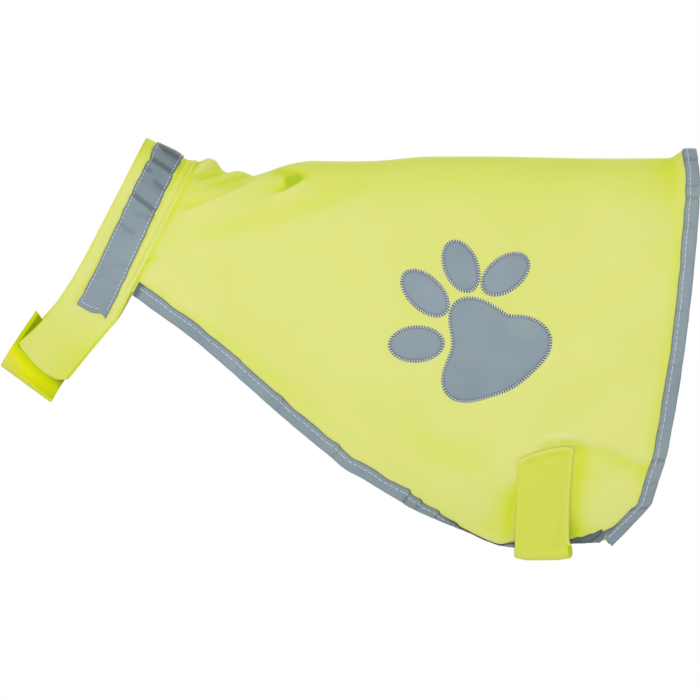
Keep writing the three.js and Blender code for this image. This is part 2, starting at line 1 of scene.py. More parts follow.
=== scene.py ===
"""A dog safety vest in fluorescent yellow cloth: a back panel, a neck band with two tails, a belly
strap, grey reflective bindings, a reflective neck tape and a reflective paw on the left flank.

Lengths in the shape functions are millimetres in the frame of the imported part: +X toward the tail,
-Y the wearer's left side, +Z up. Every piece is a surface worked out on a grid of two parameters.
"""

import math

import bpy
import numpy as np
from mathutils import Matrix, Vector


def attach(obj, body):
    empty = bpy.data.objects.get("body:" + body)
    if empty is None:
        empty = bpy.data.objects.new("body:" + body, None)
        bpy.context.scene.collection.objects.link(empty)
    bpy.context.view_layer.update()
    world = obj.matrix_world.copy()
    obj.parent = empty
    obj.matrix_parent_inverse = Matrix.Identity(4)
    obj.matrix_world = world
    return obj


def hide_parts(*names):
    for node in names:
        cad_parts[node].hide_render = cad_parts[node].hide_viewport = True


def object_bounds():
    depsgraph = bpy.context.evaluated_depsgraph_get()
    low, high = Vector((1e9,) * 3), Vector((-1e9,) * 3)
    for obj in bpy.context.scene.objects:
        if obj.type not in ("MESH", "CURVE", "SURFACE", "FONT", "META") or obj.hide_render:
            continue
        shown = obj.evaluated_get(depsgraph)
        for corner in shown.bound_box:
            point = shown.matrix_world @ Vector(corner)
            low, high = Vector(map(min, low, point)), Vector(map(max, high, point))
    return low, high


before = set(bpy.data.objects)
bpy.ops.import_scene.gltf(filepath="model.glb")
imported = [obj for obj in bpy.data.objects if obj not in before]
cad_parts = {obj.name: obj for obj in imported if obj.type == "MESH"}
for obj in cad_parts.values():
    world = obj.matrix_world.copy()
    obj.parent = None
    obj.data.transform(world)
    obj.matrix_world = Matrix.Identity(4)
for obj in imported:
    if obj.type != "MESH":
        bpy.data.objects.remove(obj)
cad_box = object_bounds()

METRES = 0.001


# ------------------------------------------------------------------ arithmetic
def table(columns, *rows):
    """A small table: its columns by name, as arrays."""
    return dict(zip(columns, np.array(rows, float).T))


def each_row(rows):
    """A table's rows one after another, each with its numbers by name."""
    for values in zip(*rows.values()):
        yield dict(zip(rows, values))


def read(rows, place, column):
    """A column of a table at places between its rows: a cubic between neighbours, whose slope at
    each row is that of the straight line through the rows beside it."""
    at, value = rows["at"], rows[column]
    place = np.clip(place, at[0], at[-1])
    after = np.append(np.arange(1, len(at)), len(at) - 1)
    before = np.append(0, np.arange(len(at) - 1))
    slope = (value[after] - value[before]) / (at[after] - at[before])
    row = np.clip(np.searchsorted(at, place, side="right") - 1, 0, len(at) - 2)
    span = at[row + 1] - at[row]
    t = (place - at[row]) / span
    start_pull = (t**3 - 2 * t**2 + t) * span * slope[row]
    end_pull = (t**3 - t**2) * span * slope[row + 1]
    return lerp(value[row], value[row + 1], ease(t)) + start_pull + end_pull


def lerp(a, b, share):
    """The place between a and b at a share of the way."""
    return a + (b - a) * share


def ease(t):
    """From 0 to 1 as t does, but level at both ends: three times its square less twice its cube."""
    return t * t * (3 - 2 * t)


def smoothstep(x, low, high):
    """0 up to low and 1 from high on, eased between them."""
    return ease(np.clip((x - low) / (high - low), 0, 1))


def bump(distance, width):
    """A soft bell: 1 in the middle, and about a third at one width."""
    return np.exp(-((distance / width) ** 2))


def swell(distance, size, width):
    """A bell of a given size and width, for a line of relief or of shade."""
    return size * bump(distance, width)


def unit(vectors):
    """Vectors made one long."""
    shortest = 1e-12
    return vectors / np.maximum(np.linalg.norm(vectors, axis=-1, keepdims=True), shortest)


def stack(x, y, z):
    """Points from their three coordinates."""
    return np.stack(np.broadcast_arrays(x, y, z), axis=-1)


def length_along(line):
    """How far each point of a line is from its first, along it."""
    return np.append(0, np.cumsum(np.linalg.norm(np.diff(line, axis=0), axis=1)))


def on_line(place, at, line):
    """The points of a line at lengths along it."""
    return np.stack([np.interp(place, at, line[:, i]) for i in range(3)], axis=-1)


UNEVEN_HEIGHTS = 4096
UNEVEN_START = 1000


def uneven(place, spacing, seed):
    """A smooth wander between -1 and 1: fixed random heights one spacing apart, joined by a cubic
    that is level at each of them."""
    heights = np.random.default_rng(seed).uniform(-1, 1, UNEVEN_HEIGHTS)
    steps = np.asarray(place, float) / spacing + UNEVEN_START
    low = np.floor(steps).astype(int)
    here, there = heights[low % UNEVEN_HEIGHTS], heights[(low + 1) % UNEVEN_HEIGHTS]
    return lerp(here, there, ease(steps - low))


def wave(place, size, spacing, seed):
    """An uneven wander of a given size."""
    return size * uneven(place, spacing, seed)


def normal_of(surface, a, b, step_a, step_b):
    """A surface's outward normal, from two short steps across it."""
    along_a = surface(a + step_a, b) - surface(a - step_a, b)
    along_b = surface(a, b + step_b) - surface(a, b - step_b)
    return unit(np.cross(along_a, along_b))


def grid_normals(grid, outward):
    """Normals of a grid of points from its own rows and columns, on the side of outward."""
    normal = unit(np.cross(np.gradient(grid, axis=0), np.gradient(grid, axis=1)))
    return normal * np.sign(np.sum(normal * outward, axis=-1, keepdims=True))


# ------------------------------------------------------------------ sizes
# Walls, and the gaps between them.
CLOTH_WALL = 1.2                            # the doubled cloth of the band and the strap
PANEL_WALL = 0.9
TAPE_WALL = 0.9
PILE_WALL = 1.0
SEAM_GAP = 0.3
BINDING_WIDTH = 10.6
BINDING_GAP = 0.35
BINDING_WALL = 0.9
REAR_OVERHANG = 6.5

# The neck band is a ring: a reach is a distance from the nape toward the throat seen from the side,
# across is a place across the strip from its middle toward the shoulders, and an angle runs round
# the ring from the nape, less than 0 on the left side and past 180 where the right tail returns.
BAND_WIDTH = 48.5
NAPE = (-228.4, 6.4)
NECK_REACH = 238
THROAT_SKEW = 0.125                         # how much shorter the ring is toward the shoulders
NECK_HALF_WIDTH = 56
NECK_FLARE = 3
NECK_EGG = 0.22
TAIL_SPREAD = {"share": 0.09, "angles": (125, 178)}  # the strip lies wider at the throat fold
TAIL_DRIFT = 0.2
TAIL_BENDS = 160
TAIL_SETTLES = 70
TAIL_DROP = (120, 168)                      # the angles over which it goes under the left tail
LEFT_TAIL_REACH = 212
LEFT_TAIL_ROUND = 6.5
LEFT_TAIL_CORNER = {"size": 3, "from": 0.55}
LEFT_TAIL_POINT = {"size": 1.5, "from": 0.4}
LEFT_TAIL_FLARE = {"size": 3, "angles": (118, 141), "side": (0, 0.6)}
RIGHT_TAIL_RETURN = 47.8
RIGHT_TAIL_SLANT = 0.47
LOOP_TAPE_START = 37
SEAM_REACH = 122
SEAM_ACROSS = BAND_WIDTH / 2 + 0.6
NECK_TAPE_WIDTH = 25.5
NECK_TAPE_REACH = 154
NECK_TAPE_DRIFT = {"nape": -1.5, "end": 4.7, "power": 3}
SHOULDER_BULGE = {"reach": 150, "length": 20, "size": 2.2, "angle": 150}

NECK_SLOPES = table(
    ("at", "slope"), (0, 65), (60, 63), (110, 62), (160, 54.5), (212, 48), (245, 46.5))

# The figure that fills the vest out, by the share of the way from the neck seam to the rear edge.
FIGURE = table(
    ("at", "hem_angle", "half_width", "egg"),
    (0, 94, 59, 0.22),
    (0.25, 106, 69, 0.13),
    (0.5, 125, 79, 0.07),
    (0.8, 145, 86, 0.05),
    (1, 146, 85, 0.05),
)
SPINE_LINE = table(
    ("at", "z"),
    (0, -3.8), (0.25, -3.4), (0.36, -3), (0.45, 0.4), (0.4865, 0.6), (0.6, 0.6), (0.8, -1), (1, -0.6))
HEM_LINE = (
    (0.151, -203.5, -158),
    (0.435, -101.5, -245.3),
    (0.608, -33.5, -290.4),
    (0.72, 14.5, -312),
    (0.805, 51, -329),
    (0.902, 100, -330),
    (1, 149.5, -325),
)
REAR_LINE = table(
    ("at", "x"),
    (0, 217.5), (0.085, 218.7), (0.32, 211.7), (0.475, 205.7), (0.63, 198.4), (0.77, 190.4),
    (0.8, 187.9), (0.85, 182.8), (0.89, 178.9), (0.912, 176), (1, 149.5))
HEM_BULGE = {"x": -80, "length": 10, "size": 2.2}
NAPE_SAG = table(
    ("at", "rise"),
    (-206, 1.2), (-198, 2), (-191, 3), (-187, 2.6), (-183, 0.2), (-179.5, -5.5), (-176, -8.8),
    (-172, -10), (-167, -8.4), (-162, -8.6), (-157, -10.4), (-151, -12.8), (-145, -11.4),
    (-137, -8.4), (-127, -4.4), (-116, -1.4), (-102, 0.4), (-90, 0))
NAPE_SAG_LEAN = 2
NAPE_SAG_DEPTH = 20
REAR_LIFT = {"height": 7, "length": 22, "crest": 8, "spread": 0.55}

# The belly strap: its two edges by how far they are below the spine, and its upper end and its
# lowest line by the share of the way across it.
STRAP_EDGES = table(
    ("at", "front", "rear"),
    (244, 65.7, 113.4), (262, 65.5, 111.6), (290, 64.6, 109.8), (318, 63.6, 109.2),
    (326, 63.5, 109.6), (331, 63.3, 111.7), (338, 63.1, 112), (342, 63.1, 110.8))
STRAP_END = table(
    ("at", "z"),
    (0, -256.2), (0.2, -252.4), (0.42, -248.8), (0.62, -246.2), (0.85, -244.9), (1, -246.8))
STRAP_MIDDLE = 88.5
STRAP_LEAVES = -272
STRAP_CORNER_HALF_WIDTH = 47
STRAP_CORNER_RADIUS = 8
STRAP_BOTTOM = -342
STRAP_BOTTOM_LIFT = 3.4                     # at its two edges
STRAP_ASKEW = 1.4                           # further back on the right side
STRAP_PULL = {"depth": 8, "spread": 42, "start": 245, "full": 341}

# The hem rolls under: how far its last stretch is turned from hanging straight down, by the share of
# the way from the neck seam to the rear edge, and the length of cloth in the roll, of which the
# first part is its bend.
HEM_TURN = table(
    ("at", "degrees"),
    (0, 0), (0.59, 0), (0.62, 36), (0.675, 61), (0.708, 78), (0.744, 96), (0.766, 99), (0.8, 97),
    (0.812, 88), (0.826, 73), (0.86, 84), (0.9, 84), (0.917, 74), (0.926, 69), (0.945, 60),
    (0.962, 50), (0.972, 40), (0.98, 10), (1, 0))
ROLL_LENGTH = 17
ROLL_BEND = 6.5
ROLL_DRAWS = 0.24                           # the share of the girth above it that hangs lower

# ------------------------------------------------------------------ neck surface
# The band's middle line seen from the side, mm by mm down its slopes.
_reach = np.arange(0, 256)
_mid_slope = np.radians(read(NECK_SLOPES, _reach[1:] - 0.5, "slope"))
NECK_PATH_X = NAPE[0] - np.append(0, np.cumsum(np.cos(_mid_slope)))
NECK_PATH_Z = NAPE[1] - np.append(0, np.cumsum(np.sin(_mid_slope)))


def neck_side(reach, across):
    """The band seen from the side: a place on its middle line, moved square to that line."""
    slope = np.radians(read(NECK_SLOPES, reach, "slope"))
    x = np.interp(reach, _reach, NECK_PATH_X) + np.sin(slope) * across
    z = np.interp(reach, _reach, NECK_PATH_Z) - np.cos(slope) * across
    return x, z


def throat_reach(across):
    """How far the throat fold is from the nape, at a place across the strip."""
    return NECK_REACH - THROAT_SKEW * across


def angle_at_reach(reach, across):
    """The angle at which the ring is that far from the nape: neck_point's cosine turned back."""
    return np.degrees(np.arccos(1 - 2 * reach / throat_reach(across)))


def neck_point(angle, across):
    """An egg-shaped ring: its length seen from the side grows as (1 - cos) / 2 and its half width
    as the sine, swollen toward the nape."""
    turn = np.radians(angle)
    x, z = neck_side(throat_reach(across) * (1 - np.cos(turn)) / 2, across)
    half_width = NECK_HALF_WIDTH + NECK_FLARE * across / (BAND_WIDTH / 2)
    return stack(x, half_width * np.sin(turn) * (1 + NECK_EGG * np.cos(turn)), z)


def neck_across(across, angle):
    """The neck surface with its two parameters the other way round, so that it faces outward."""
    return neck_point(angle, across)


# Over the nape the band is drawn in along the tape's rear edge.
NAPE_DIP = {"across": 14, "width": 6, "angle": 34, "depth": 2.3}


def neck_layer(angle, across, out):
    """A place on the neck surface, moved out square to it, less a soft dip over the nape."""
    dip = NAPE_DIP["depth"] * bump(across - NAPE_DIP["across"], NAPE_DIP["width"])
    dip = dip * bump(angle, NAPE_DIP["angle"])
    normal = normal_of(neck_across, across, angle, step_a=0.5, step_b=0.5)
    return neck_point(angle, across) + normal * (np.asarray(out) - dip)[..., None]


# ------------------------------------------------------------------ panel surface
_corner_x, _corner_z = neck_side(SEAM_REACH, SEAM_ACROSS)
HEM = table(("at", "x", "z"), (0, _corner_x, _corner_z), *HEM_LINE)
SPINE_FRONT = neck_side(0, SEAM_ACROSS)
REAR_TOP = (REAR_LINE["x"][0], SPINE_LINE["z"][-1])
REAR_BOTTOM = (HEM["x"][-1], HEM["z"][-1])


def panel_side(back, drop):
    """The panel seen from the side: a patch blended from its four edges, the neck seam, the rear
    edge, the spine and the hem."""
    seam_x, seam_z = neck_side(drop * SEAM_REACH, SEAM_ACROSS)
    corners_x = lerp(
        lerp(SPINE_FRONT[0], REAR_TOP[0], back), lerp(_corner_x, REAR_BOTTOM[0], back), drop)
    corners_z = lerp(
        lerp(SPINE_FRONT[1], REAR_TOP[1], back), lerp(_corner_z, REAR_BOTTOM[1], back), drop)
    spine_x = lerp(SPINE_FRONT[0], REAR_TOP[0], back)
    rear_x = read(REAR_LINE, drop, "x")
    rear_z = lerp(REAR_TOP[1], REAR_BOTTOM[1], drop)
    hem_x = read(HEM, back, "x")
    hem_z = read(HEM, back, "z") - HEM_BULGE["size"] * bump(hem_x - HEM_BULGE["x"], HEM_BULGE["length"])
    x = lerp(seam_x, rear_x, back) + lerp(spine_x, hem_x, drop) - corners_x
    z = lerp(seam_z, rear_z, back) - corners_z
    z += lerp(read(SPINE_LINE, back, "z"), hem_z, drop)
    return x, z


def smooth_panel(back, girth):
    """The panel with no folds: each section is an egg that runs from -1 at the left hem, over the
    spine, to 1 at the right hem."""
    hem_angle = np.radians(read(FIGURE, back, "hem_angle"))
    turn = hem_angle * girth
    drop = (1 - np.cos(turn)) / (1 - np.cos(hem_angle))
    x, z = panel_side(back, drop)
    egg = read(FIGURE, back, "egg")
    y = read(FIGURE, back, "half_width") * np.sin(turn) * (1 + egg * np.cos(turn))
    return stack(x, y, z)


def crease_table(*rows):
    """A table of creases, one after another."""
    columns = ("name", "kind", "flank", "width", "height", "shade", "line")
    return [dict(zip(columns, row)) for row in rows]


# Creases on the panel, seen from the side: a line through its points. A valley sinks and a ridge
# stands along its line; a step and a softer fold stand up on the line's left as it is followed, and
# sink on its right. Shade is how much the colour deepens in the hollow.
CREASES = crease_table(
    ("nape_overlap", "step", "left", 9, 1.7, 0.12,
     [(-150, -13), (-164, -22), (-183, -32), (-208, -42.5), (-236, -53)]),
    ("nape_lobe", "valley", "left", 6.5, 0.8, 0.12,
     [(-199, -12), (-189, -20), (-172, -22.5), (-158, -19)]),
    ("shoulder_pocket", "step", "left", 4.7, 2.4, 0.62,
     [(-113, -17.5), (-122, -23.5), (-131, -29), (-143, -32.5)]),
    ("pocket_core", "valley", "left", 3.2, 0.6, 1.1,
     [(-134, -19.4), (-127, -20.6), (-117, -18.8)]),
    ("pocket_dent", "valley", "left", 4.5, 1.0, 0.42,
     [(-147, -12.6), (-128, -14), (-110, -16)]),
    ("shoulder_valley", "valley", "left", 11, 1.3, 0.05,
     [(-60, -20), (-90, -33), (-122, -44), (-170, -58), (-215, -68), (-246, -76)]),
    ("seam_valley", "valley", "left", 8, 0.8, 0.04,
     [(-196, -40), (-220, -48), (-246, -56)]),
    ("shoulder_roll", "ridge", "left", 14, 1.0, 0,
     [(-58, -40), (-120, -63), (-190, -84)]),
    ("upper_roll", "ridge", "left", 9, 0.9, 0,
     [(-96, -28), (-150, -41), (-200, -56)]),
    ("seam_nick", "valley", "left", 2.4, 1.0, 0.3,
     [(-238, -87), (-246, -87.5), (-252, -93)]),
    ("nape_overlap_right", "step", "right", 12, 2.8, 0.3,
     [(-138, -14), (-160, -27), (-184, -38), (-212, -50), (-240, -64)]),
    ("pocket_right", "step", "right", 10, 2.6, 0.4,
     [(-88, -12), (-108, -24), (-122, -35)]),
    ("shoulder_valley_right", "valley", "right", 10, 2.4, 0.1,
     [(-32, -18), (-86, -41), (-140, -62), (-214, -82)]),
    ("seam_valley_right", "valley", "right", 7, 1.6, 0.15,
     [(-168, -84), (-205, -93), (-240, -97)]),
    ("strap_pull_rear", "fold", "both", 13, 2.8, 0.2,
     [(82, -245), (114, -242.5), (130, -243), (142, -246), (157, -253), (172, -260), (196, -268)]),
    ("strap_top_rear", "valley", "both", 7, 1.0, 0.16,
     [(114, -240), (119, -250), (121, -262), (120, -276)]),
    ("strap_side_rear", "valley", "both", 6, 1.2, 0.2,
     [(113, -246), (114, -270), (113.5, -300), (114, -332)]),
    ("strap_hollow_rear", "valley", "both", 19, 2.0, 0.08,
     [(120, -256), (121, -285), (121, -310), (120, -336)]),
    ("strap_corner_rear", "valley", "both", 8, 0.6, 0.1,
     [(112, -306), (113, -318), (117, -330)]),
    ("strap_side_front", "valley", "both", 4.6, 1.2, 0.32,
     [(64.5, -264), (61.5, -288), (58.5, -308), (56, -334)]),
    ("strap_hollow_front", "valley", "both", 9.5, 1.2, 0.12,
     [(58, -276), (50, -300), (44, -328)]),
    ("above_strap", "valley", "both", 2.6, 1.0, 0.6,
     [(80, -246), (90, -242.8), (103, -240.8), (114, -242), (121, -247)]),
    ("above_strap_roll", "ridge", "both", 2.8, 1.2, -0.45,
     [(80, -241.6), (92, -238), (106, -236.4), (118, -238.6)]),
    ("belly_roll", "ridge", "both", 16, 1.6, 0,
     [(24, -300), (-20, -272), (-78, -238), (-120, -205)]),
    ("belly_valley", "valley", "both", 20, 1.2, 0.06,
     [(50, -262), (10, -250), (-40, -225)]),
)
# A crease's section, in its widths: how soon its lip stands up and falls away again, the hollow
# beside it, and how far to each side it is followed. Its two ends, by the share of its line.
STEP_SOFTNESS, FOLD_SOFTNESS = 0.13, 0.3
LIP_FALL = 0.9
HOLLOW_WIDTH = 1.1
HOLLOW_DEPTH = 0.5
CREASE_REACH = 4
CREASE_BEGINS, CREASE_ENDS = (-0.12, 0.25), (0.7, 1.12)
CREASE_SHADE_LENGTH = 0.5


def smooth_line(points, step=1.5, fewest=8):
    """A curve through a few points, by their spacing, sampled every step."""
    points = np.array(points, float)
    at = length_along(points)
    rows = {"at": at, "x": points[:, 0], "z": points[:, 1]}
    places = np.linspace(0, at[-1], max(int(at[-1] / step), fewest))
    return np.stack([read(rows, places, "x"), read(rows, places, "z")], axis=-1)


def beside(line, width, x, z):
    """The places near a line: how far across it they are, in widths, and what share of the way
    along it."""
    reach = CREASE_REACH * width
    low, high = line.min(axis=0) - reach, line.max(axis=0) + reach
    near = (x > low[0]) & (x < high[0]) & (z > low[1]) & (z < high[1])
    offset = np.stack([x[near], z[near]], axis=-1)[:, None, :] - line[None]
    nearest = np.argmin(np.sum(offset**2, axis=-1), axis=1)
    run = np.gradient(line, axis=0)[nearest]
    pace = np.linalg.norm(run, axis=-1)
    offset = offset[np.arange(len(nearest)), nearest]
    across = (run[:, 0] * offset[:, 1] - run[:, 1] * offset[:, 0]) / pace / width
    share = (nearest + np.sum(run * offset, axis=-1) / pace**2) / (len(line) - 1)
    return near, across, share


def crease_profile(kind, across, effect):
    """A crease's section. Its rise is a bell across a ridge or valley, or a lip that stands over the
    hollow beside it; its shade lies in the hollow."""
    if kind in ("ridge", "valley"):
        side = 1 if kind == "ridge" or effect == "shade" else -1
        return side * bump(across, 1)
    lip = 0.5 * (1 + np.tanh(across / (STEP_SOFTNESS if kind == "step" else FOLD_SOFTNESS)))
    hollow = (1 - lip) * bump(across, HOLLOW_WIDTH)
    if effect == "shade":
        return hollow
    return lip * np.exp(-LIP_FALL * np.maximum(across, 0)) - HOLLOW_DEPTH * hollow


def creased(creases, x, z, left, effect):
    """The sum of the creases' rise or shade. Each fades toward the two ends of its line."""
    total = np.zeros(np.shape(x))
    for crease in creases:
        near, across, share = beside(smooth_line(crease["line"]), crease["width"], x, z)
        fade = smoothstep(share, *CREASE_BEGINS) * (1 - smoothstep(share, *CREASE_ENDS))
        if effect == "shade":
            fade = fade * bump(share - 0.5, CREASE_SHADE_LENGTH)
        if crease["flank"] != "both":
            fade = fade * (left[near] == (crease["flank"] == "left"))
        size = crease["height" if effect == "rise" else "shade"]
        total[near] += size * fade * crease_profile(crease["kind"], across, effect)
    return total


# Slack waves on the flanks, which lean across each other, and gathers along the neck seam: their
# size, spacing and seed, the heights below the spine over which they set in, and how far apart the
# two flanks' waves are taken, so that they differ.
SLACK_WAVE, SLACK_WAVE_LEAN = (0.55, 46, 11), 0.4
CROSS_WAVE, CROSS_WAVE_LEAN, CROSS_WAVES_APART = (0.55, 38, 12), 0.5, 300
WAVES_BELOW = (15, 60)
SEAM_GATHER, SEAM_GATHER_LENGTH, SEAM_GATHERS_APART = (0.4, 6.5, 13), 0.035, 200
GATHERS_BELOW = (25, 50)
SEAM_HELD = 0.02                            # the share of the panel that the neck seam holds flat


def panel_rise(back, girth, place):
    """What moves the cloth out: the sag at the nape, the creases, the lift of the rear edge on the
    spine, slack waves, and small gathers along the neck seam."""
    x, z = place[..., 0], place[..., 2]
    fall = -z
    rise = read(NAPE_SAG, x + NAPE_SAG_LEAN * fall, "rise")
    rise = rise * bump(np.maximum(fall, 0), NAPE_SAG_DEPTH)
    left = np.broadcast_to(girth < 0, x.shape)
    rise += creased(CREASES, x, z, left, "rise")
    waves = wave(x + SLACK_WAVE_LEAN * z, *SLACK_WAVE)
    waves += wave(z - CROSS_WAVE_LEAN * x + CROSS_WAVES_APART * left, *CROSS_WAVE)
    rise += waves * smoothstep(fall, *WAVES_BELOW)
    gathers = wave(fall + SEAM_GATHERS_APART * left, *SEAM_GATHER)
    rise += gathers * bump(back, SEAM_GATHER_LENGTH) * smoothstep(fall, *GATHERS_BELOW)
    rise *= smoothstep(back, 0, SEAM_HELD)
    behind = smoothstep(
        x, REAR_TOP[0] - REAR_LIFT["length"], REAR_TOP[0] - REAR_LIFT["crest"])
    return rise + REAR_LIFT["height"] * behind * bump(girth, REAR_LIFT["spread"] / 2)


# Lines of shade on the panel: how dark each is and how wide, and how far in from its edge it lies.
SPINE_SHADE = (0.3, 38)
SEAM_SHADE, SEAM_SHADE_INSET = (0.4, 0.006), 0
REAR_SHADE, REAR_SHADE_INSET = (0.22, 0.012), 0.026
HEM_SHADE, HEM_SHADE_INSET = (0.16, 0.016), 0.055


def panel_shade(back, girth, place):
    """How much painted shade deepens the colour: in the creases, over the spine where the back turns
    from the light, and in a line beside the neck seam and the bindings."""
    x, z = place[..., 0], place[..., 2]
    left = np.broadcast_to(girth < 0, x.shape)
    shade = creased(CREASES, x, z, left, "shade")
    shade += swell(np.maximum(-z, 0), *SPINE_SHADE)
    shade += swell(back - SEAM_SHADE_INSET, *SEAM_SHADE)
    shade += swell(1 - back - REAR_SHADE_INSET, *REAR_SHADE)
    return shade + swell(1 - np.abs(girth) - HEM_SHADE_INSET, *HEM_SHADE)


def panel_pull(place):
    """The belly strap draws the cloth in toward the other flank."""
    under = smoothstep(-place[..., 2], STRAP_PULL["start"], STRAP_PULL["full"])
    return STRAP_PULL["depth"] * under * bump(place[..., 0] - STRAP_MIDDLE, STRAP_PULL["spread"])


# Along the hem: how many mm one unit of girth is, how steeply the cloth falls, how far it faces
# inward, and the height of the roll's start over the hem.
HEM_PLACES = np.linspace(0, 1, 41)
_above, _below = 0.95, 0.97
_hem_fall = smooth_panel(HEM_PLACES, _below) - smooth_panel(HEM_PLACES, _above)
HEM_PACE = np.linalg.norm(_hem_fall, axis=-1) / (_below - _above)
HEM_DOWN = -_hem_fall[:, 2] / np.linalg.norm(_hem_fall, axis=-1)
HEM_INWARD = _hem_fall[:, 1] / np.linalg.norm(_hem_fall[:, 1:], axis=-1)
_roll_start = smooth_panel(HEM_PLACES, 1 - ROLL_LENGTH / HEM_PACE)
HEM_DROP = (_roll_start - smooth_panel(HEM_PLACES, 1.0))[:, 2]


def rolled_panel(back, girth):
    """The panel with its hem rolled under. Cloth within the roll's length of the hem leaves the
    flank on a bend, then runs straight, turned to the angle in the table; the cloth above hangs
    lower by what the roll takes up, so that its lowest line lies where the hem would."""
    back, girth = np.broadcast_arrays(back, girth)
    side = np.where(girth < 0, -1.0, 1.0)
    pace = np.interp(back, HEM_PLACES, HEM_PACE)
    starts = 1 - ROLL_LENGTH / pace
    falls = np.interp(back, HEM_PLACES, HEM_DOWN)
    faces_down = np.abs(np.interp(back, HEM_PLACES, HEM_INWARD))
    lean = np.arctan2(faces_down, falls)
    least_angle = 0.001
    angle = np.maximum(np.radians(read(HEM_TURN, back, "degrees")) - lean, least_angle)
    turned_to = lean + angle
    radius = ROLL_BEND / angle
    straight = ROLL_LENGTH - ROLL_BEND
    lowest = radius * (np.sin(np.minimum(turned_to, math.pi / 2)) - np.sin(lean))
    lowest = lowest + straight * np.maximum(np.cos(turned_to), 0)
    lowest = lowest * np.hypot(faces_down, falls)
    spare = (np.interp(back, HEM_PLACES, HEM_DROP) - lowest) / falls
    drawn = spare / pace * smoothstep(np.abs(girth), starts - ROLL_DRAWS, starts)
    on = side * (np.minimum(np.abs(girth), starts) + drawn)
    past = np.maximum(np.abs(girth) - starts, 0) * pace
    turned = np.minimum(past, ROLL_BEND) / ROLL_BEND * angle
    beyond = np.maximum(past - ROLL_BEND, 0)
    down = radius * np.sin(turned) + beyond * np.cos(angle)
    inward = radius * (1 - np.cos(turned)) + beyond * np.sin(angle)
    nudge = 0.003
    here = smooth_panel(back, on)
    by_back = smooth_panel(back + nudge, on) - smooth_panel(back - nudge, on)
    by_girth = here - smooth_panel(back, on - side * nudge)
    normal = unit(np.cross(by_back, by_girth * side[..., None]))
    return here + unit(by_girth) * down[..., None] - normal * inward[..., None]


def panel_point(back, girth):
    """The middle of the panel's cloth: the rolled panel, moved out square to it by its rise, and
    drawn in by the strap."""
    place = rolled_panel(back, girth)
    normal = normal_of(rolled_panel, back, girth, step_a=0.002, step_b=0.002)
    point = place + normal * panel_rise(back, girth, place)[..., None]
    point[..., 1] -= np.sign(girth) * panel_pull(place)
    return point


def panel_normal(back, girth):
    """Square to the creased panel, outward."""
    return normal_of(panel_point, back, girth, step_a=0.003, step_b=0.003)


SEARCH_START = (0.5, 0.6)
SEARCH_ROUNDS = 12
NEAREST_SPINE = 0.02


def panel_place_at(x, z, side, surface=rolled_panel):
    """The panel's place (back, girth) seen from the side at x and z, found by Newton's method."""
    back, girth = (np.full(np.shape(x), start) for start in SEARCH_START)
    nudge = 1e-4
    for _ in range(SEARCH_ROUNDS):
        here = surface(back, girth)
        by_back = (surface(back + nudge, girth) - here) / nudge
        by_girth = (surface(back, girth + nudge) - here) / nudge
        size = by_back[..., 0] * by_girth[..., 2] - by_back[..., 2] * by_girth[..., 0]
        miss_x, miss_z = x - here[..., 0], z - here[..., 2]
        back = back + (miss_x * by_girth[..., 2] - miss_z * by_girth[..., 0]) / size
        girth = girth + (by_back[..., 0] * miss_z - by_back[..., 2] * miss_x) / size
        back, girth = np.clip(back, 0, 1), np.clip(girth, NEAREST_SPINE, 1)
    return back, girth * side


# ------------------------------------------------------------------ meshes
def as_object(name, points, faces, material, uv=None, hollow=None):
    """A mesh from points in millimetres, smooth shaded, with its cut's coordinates in metres."""
    mesh = bpy.data.meshes.new(name)
    mesh.from_pydata(points * METRES, [], faces)
    mesh.polygons.foreach_set("use_smooth", np.ones(len(mesh.polygons), bool))
    corners = np.empty(len(mesh.loops), np.int32)
    mesh.loops.foreach_get("vertex_index", corners)
    if uv is not None:
        layer = mesh.uv_layers.new(name="cut")
        layer.data.foreach_set("uv", (uv[corners] * METRES).astype(np.float32).ravel())
    # The hollow attribute holds painted shade: how much each point's colour deepens, or pales below 0.
    if hollow is not None:
        depth = mesh.attributes.new("hollow", "FLOAT", "POINT")
        depth.data.foreach_set("value", hollow.astype(np.float32))
    mesh.materials.append(material)
    mesh.validate()
    piece = bpy.data.objects.new(name, mesh)
    bpy.context.scene.collection.objects.link(piece)
    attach(piece, "root")
    return piece


def cut_lengths(grid):
    """How far each point of a grid is from the first row and column, along the cloth."""
    down = np.linalg.norm(np.diff(grid, axis=0), axis=-1).mean(axis=1)
    along = np.linalg.norm(np.diff(grid, axis=1), axis=-1).mean(axis=0)
    down, along = np.append(0, np.cumsum(down)), np.append(0, np.cumsum(along))
    return np.stack(np.meshgrid(along, down), axis=-1)


def hollows(grid, normals, passes):
    """How deep each point lies below the cloth round it: its distance from the average of its
    neighbours, taken over and over, along the normal."""
    level = grid.copy()
    for _ in range(passes):
        padded = np.pad(level, ((1, 1), (1, 1), (0, 0)), mode="edge")
        level = (padded[:-2, 1:-1] + padded[2:, 1:-1] + padded[1:-1, :-2] + padded[1:-1, 2:]) / 4
    return np.sum((level - grid) * normals, axis=-1)


# Painted shade: how many mm deep a hollow is for its colour to deepen fully.
PAINTED_SHADE_FULL_DEPTH = 7                            # mm of depth at which the colour is at its deepest
INSIDE_SHADE = 0.5                          # how much of the outside's shade the inside has


def quads(a, b, c, d):
    """Four-cornered faces from four arrays of corners."""
    return np.stack([a, b, c, d], axis=-1).reshape(-1, 4)


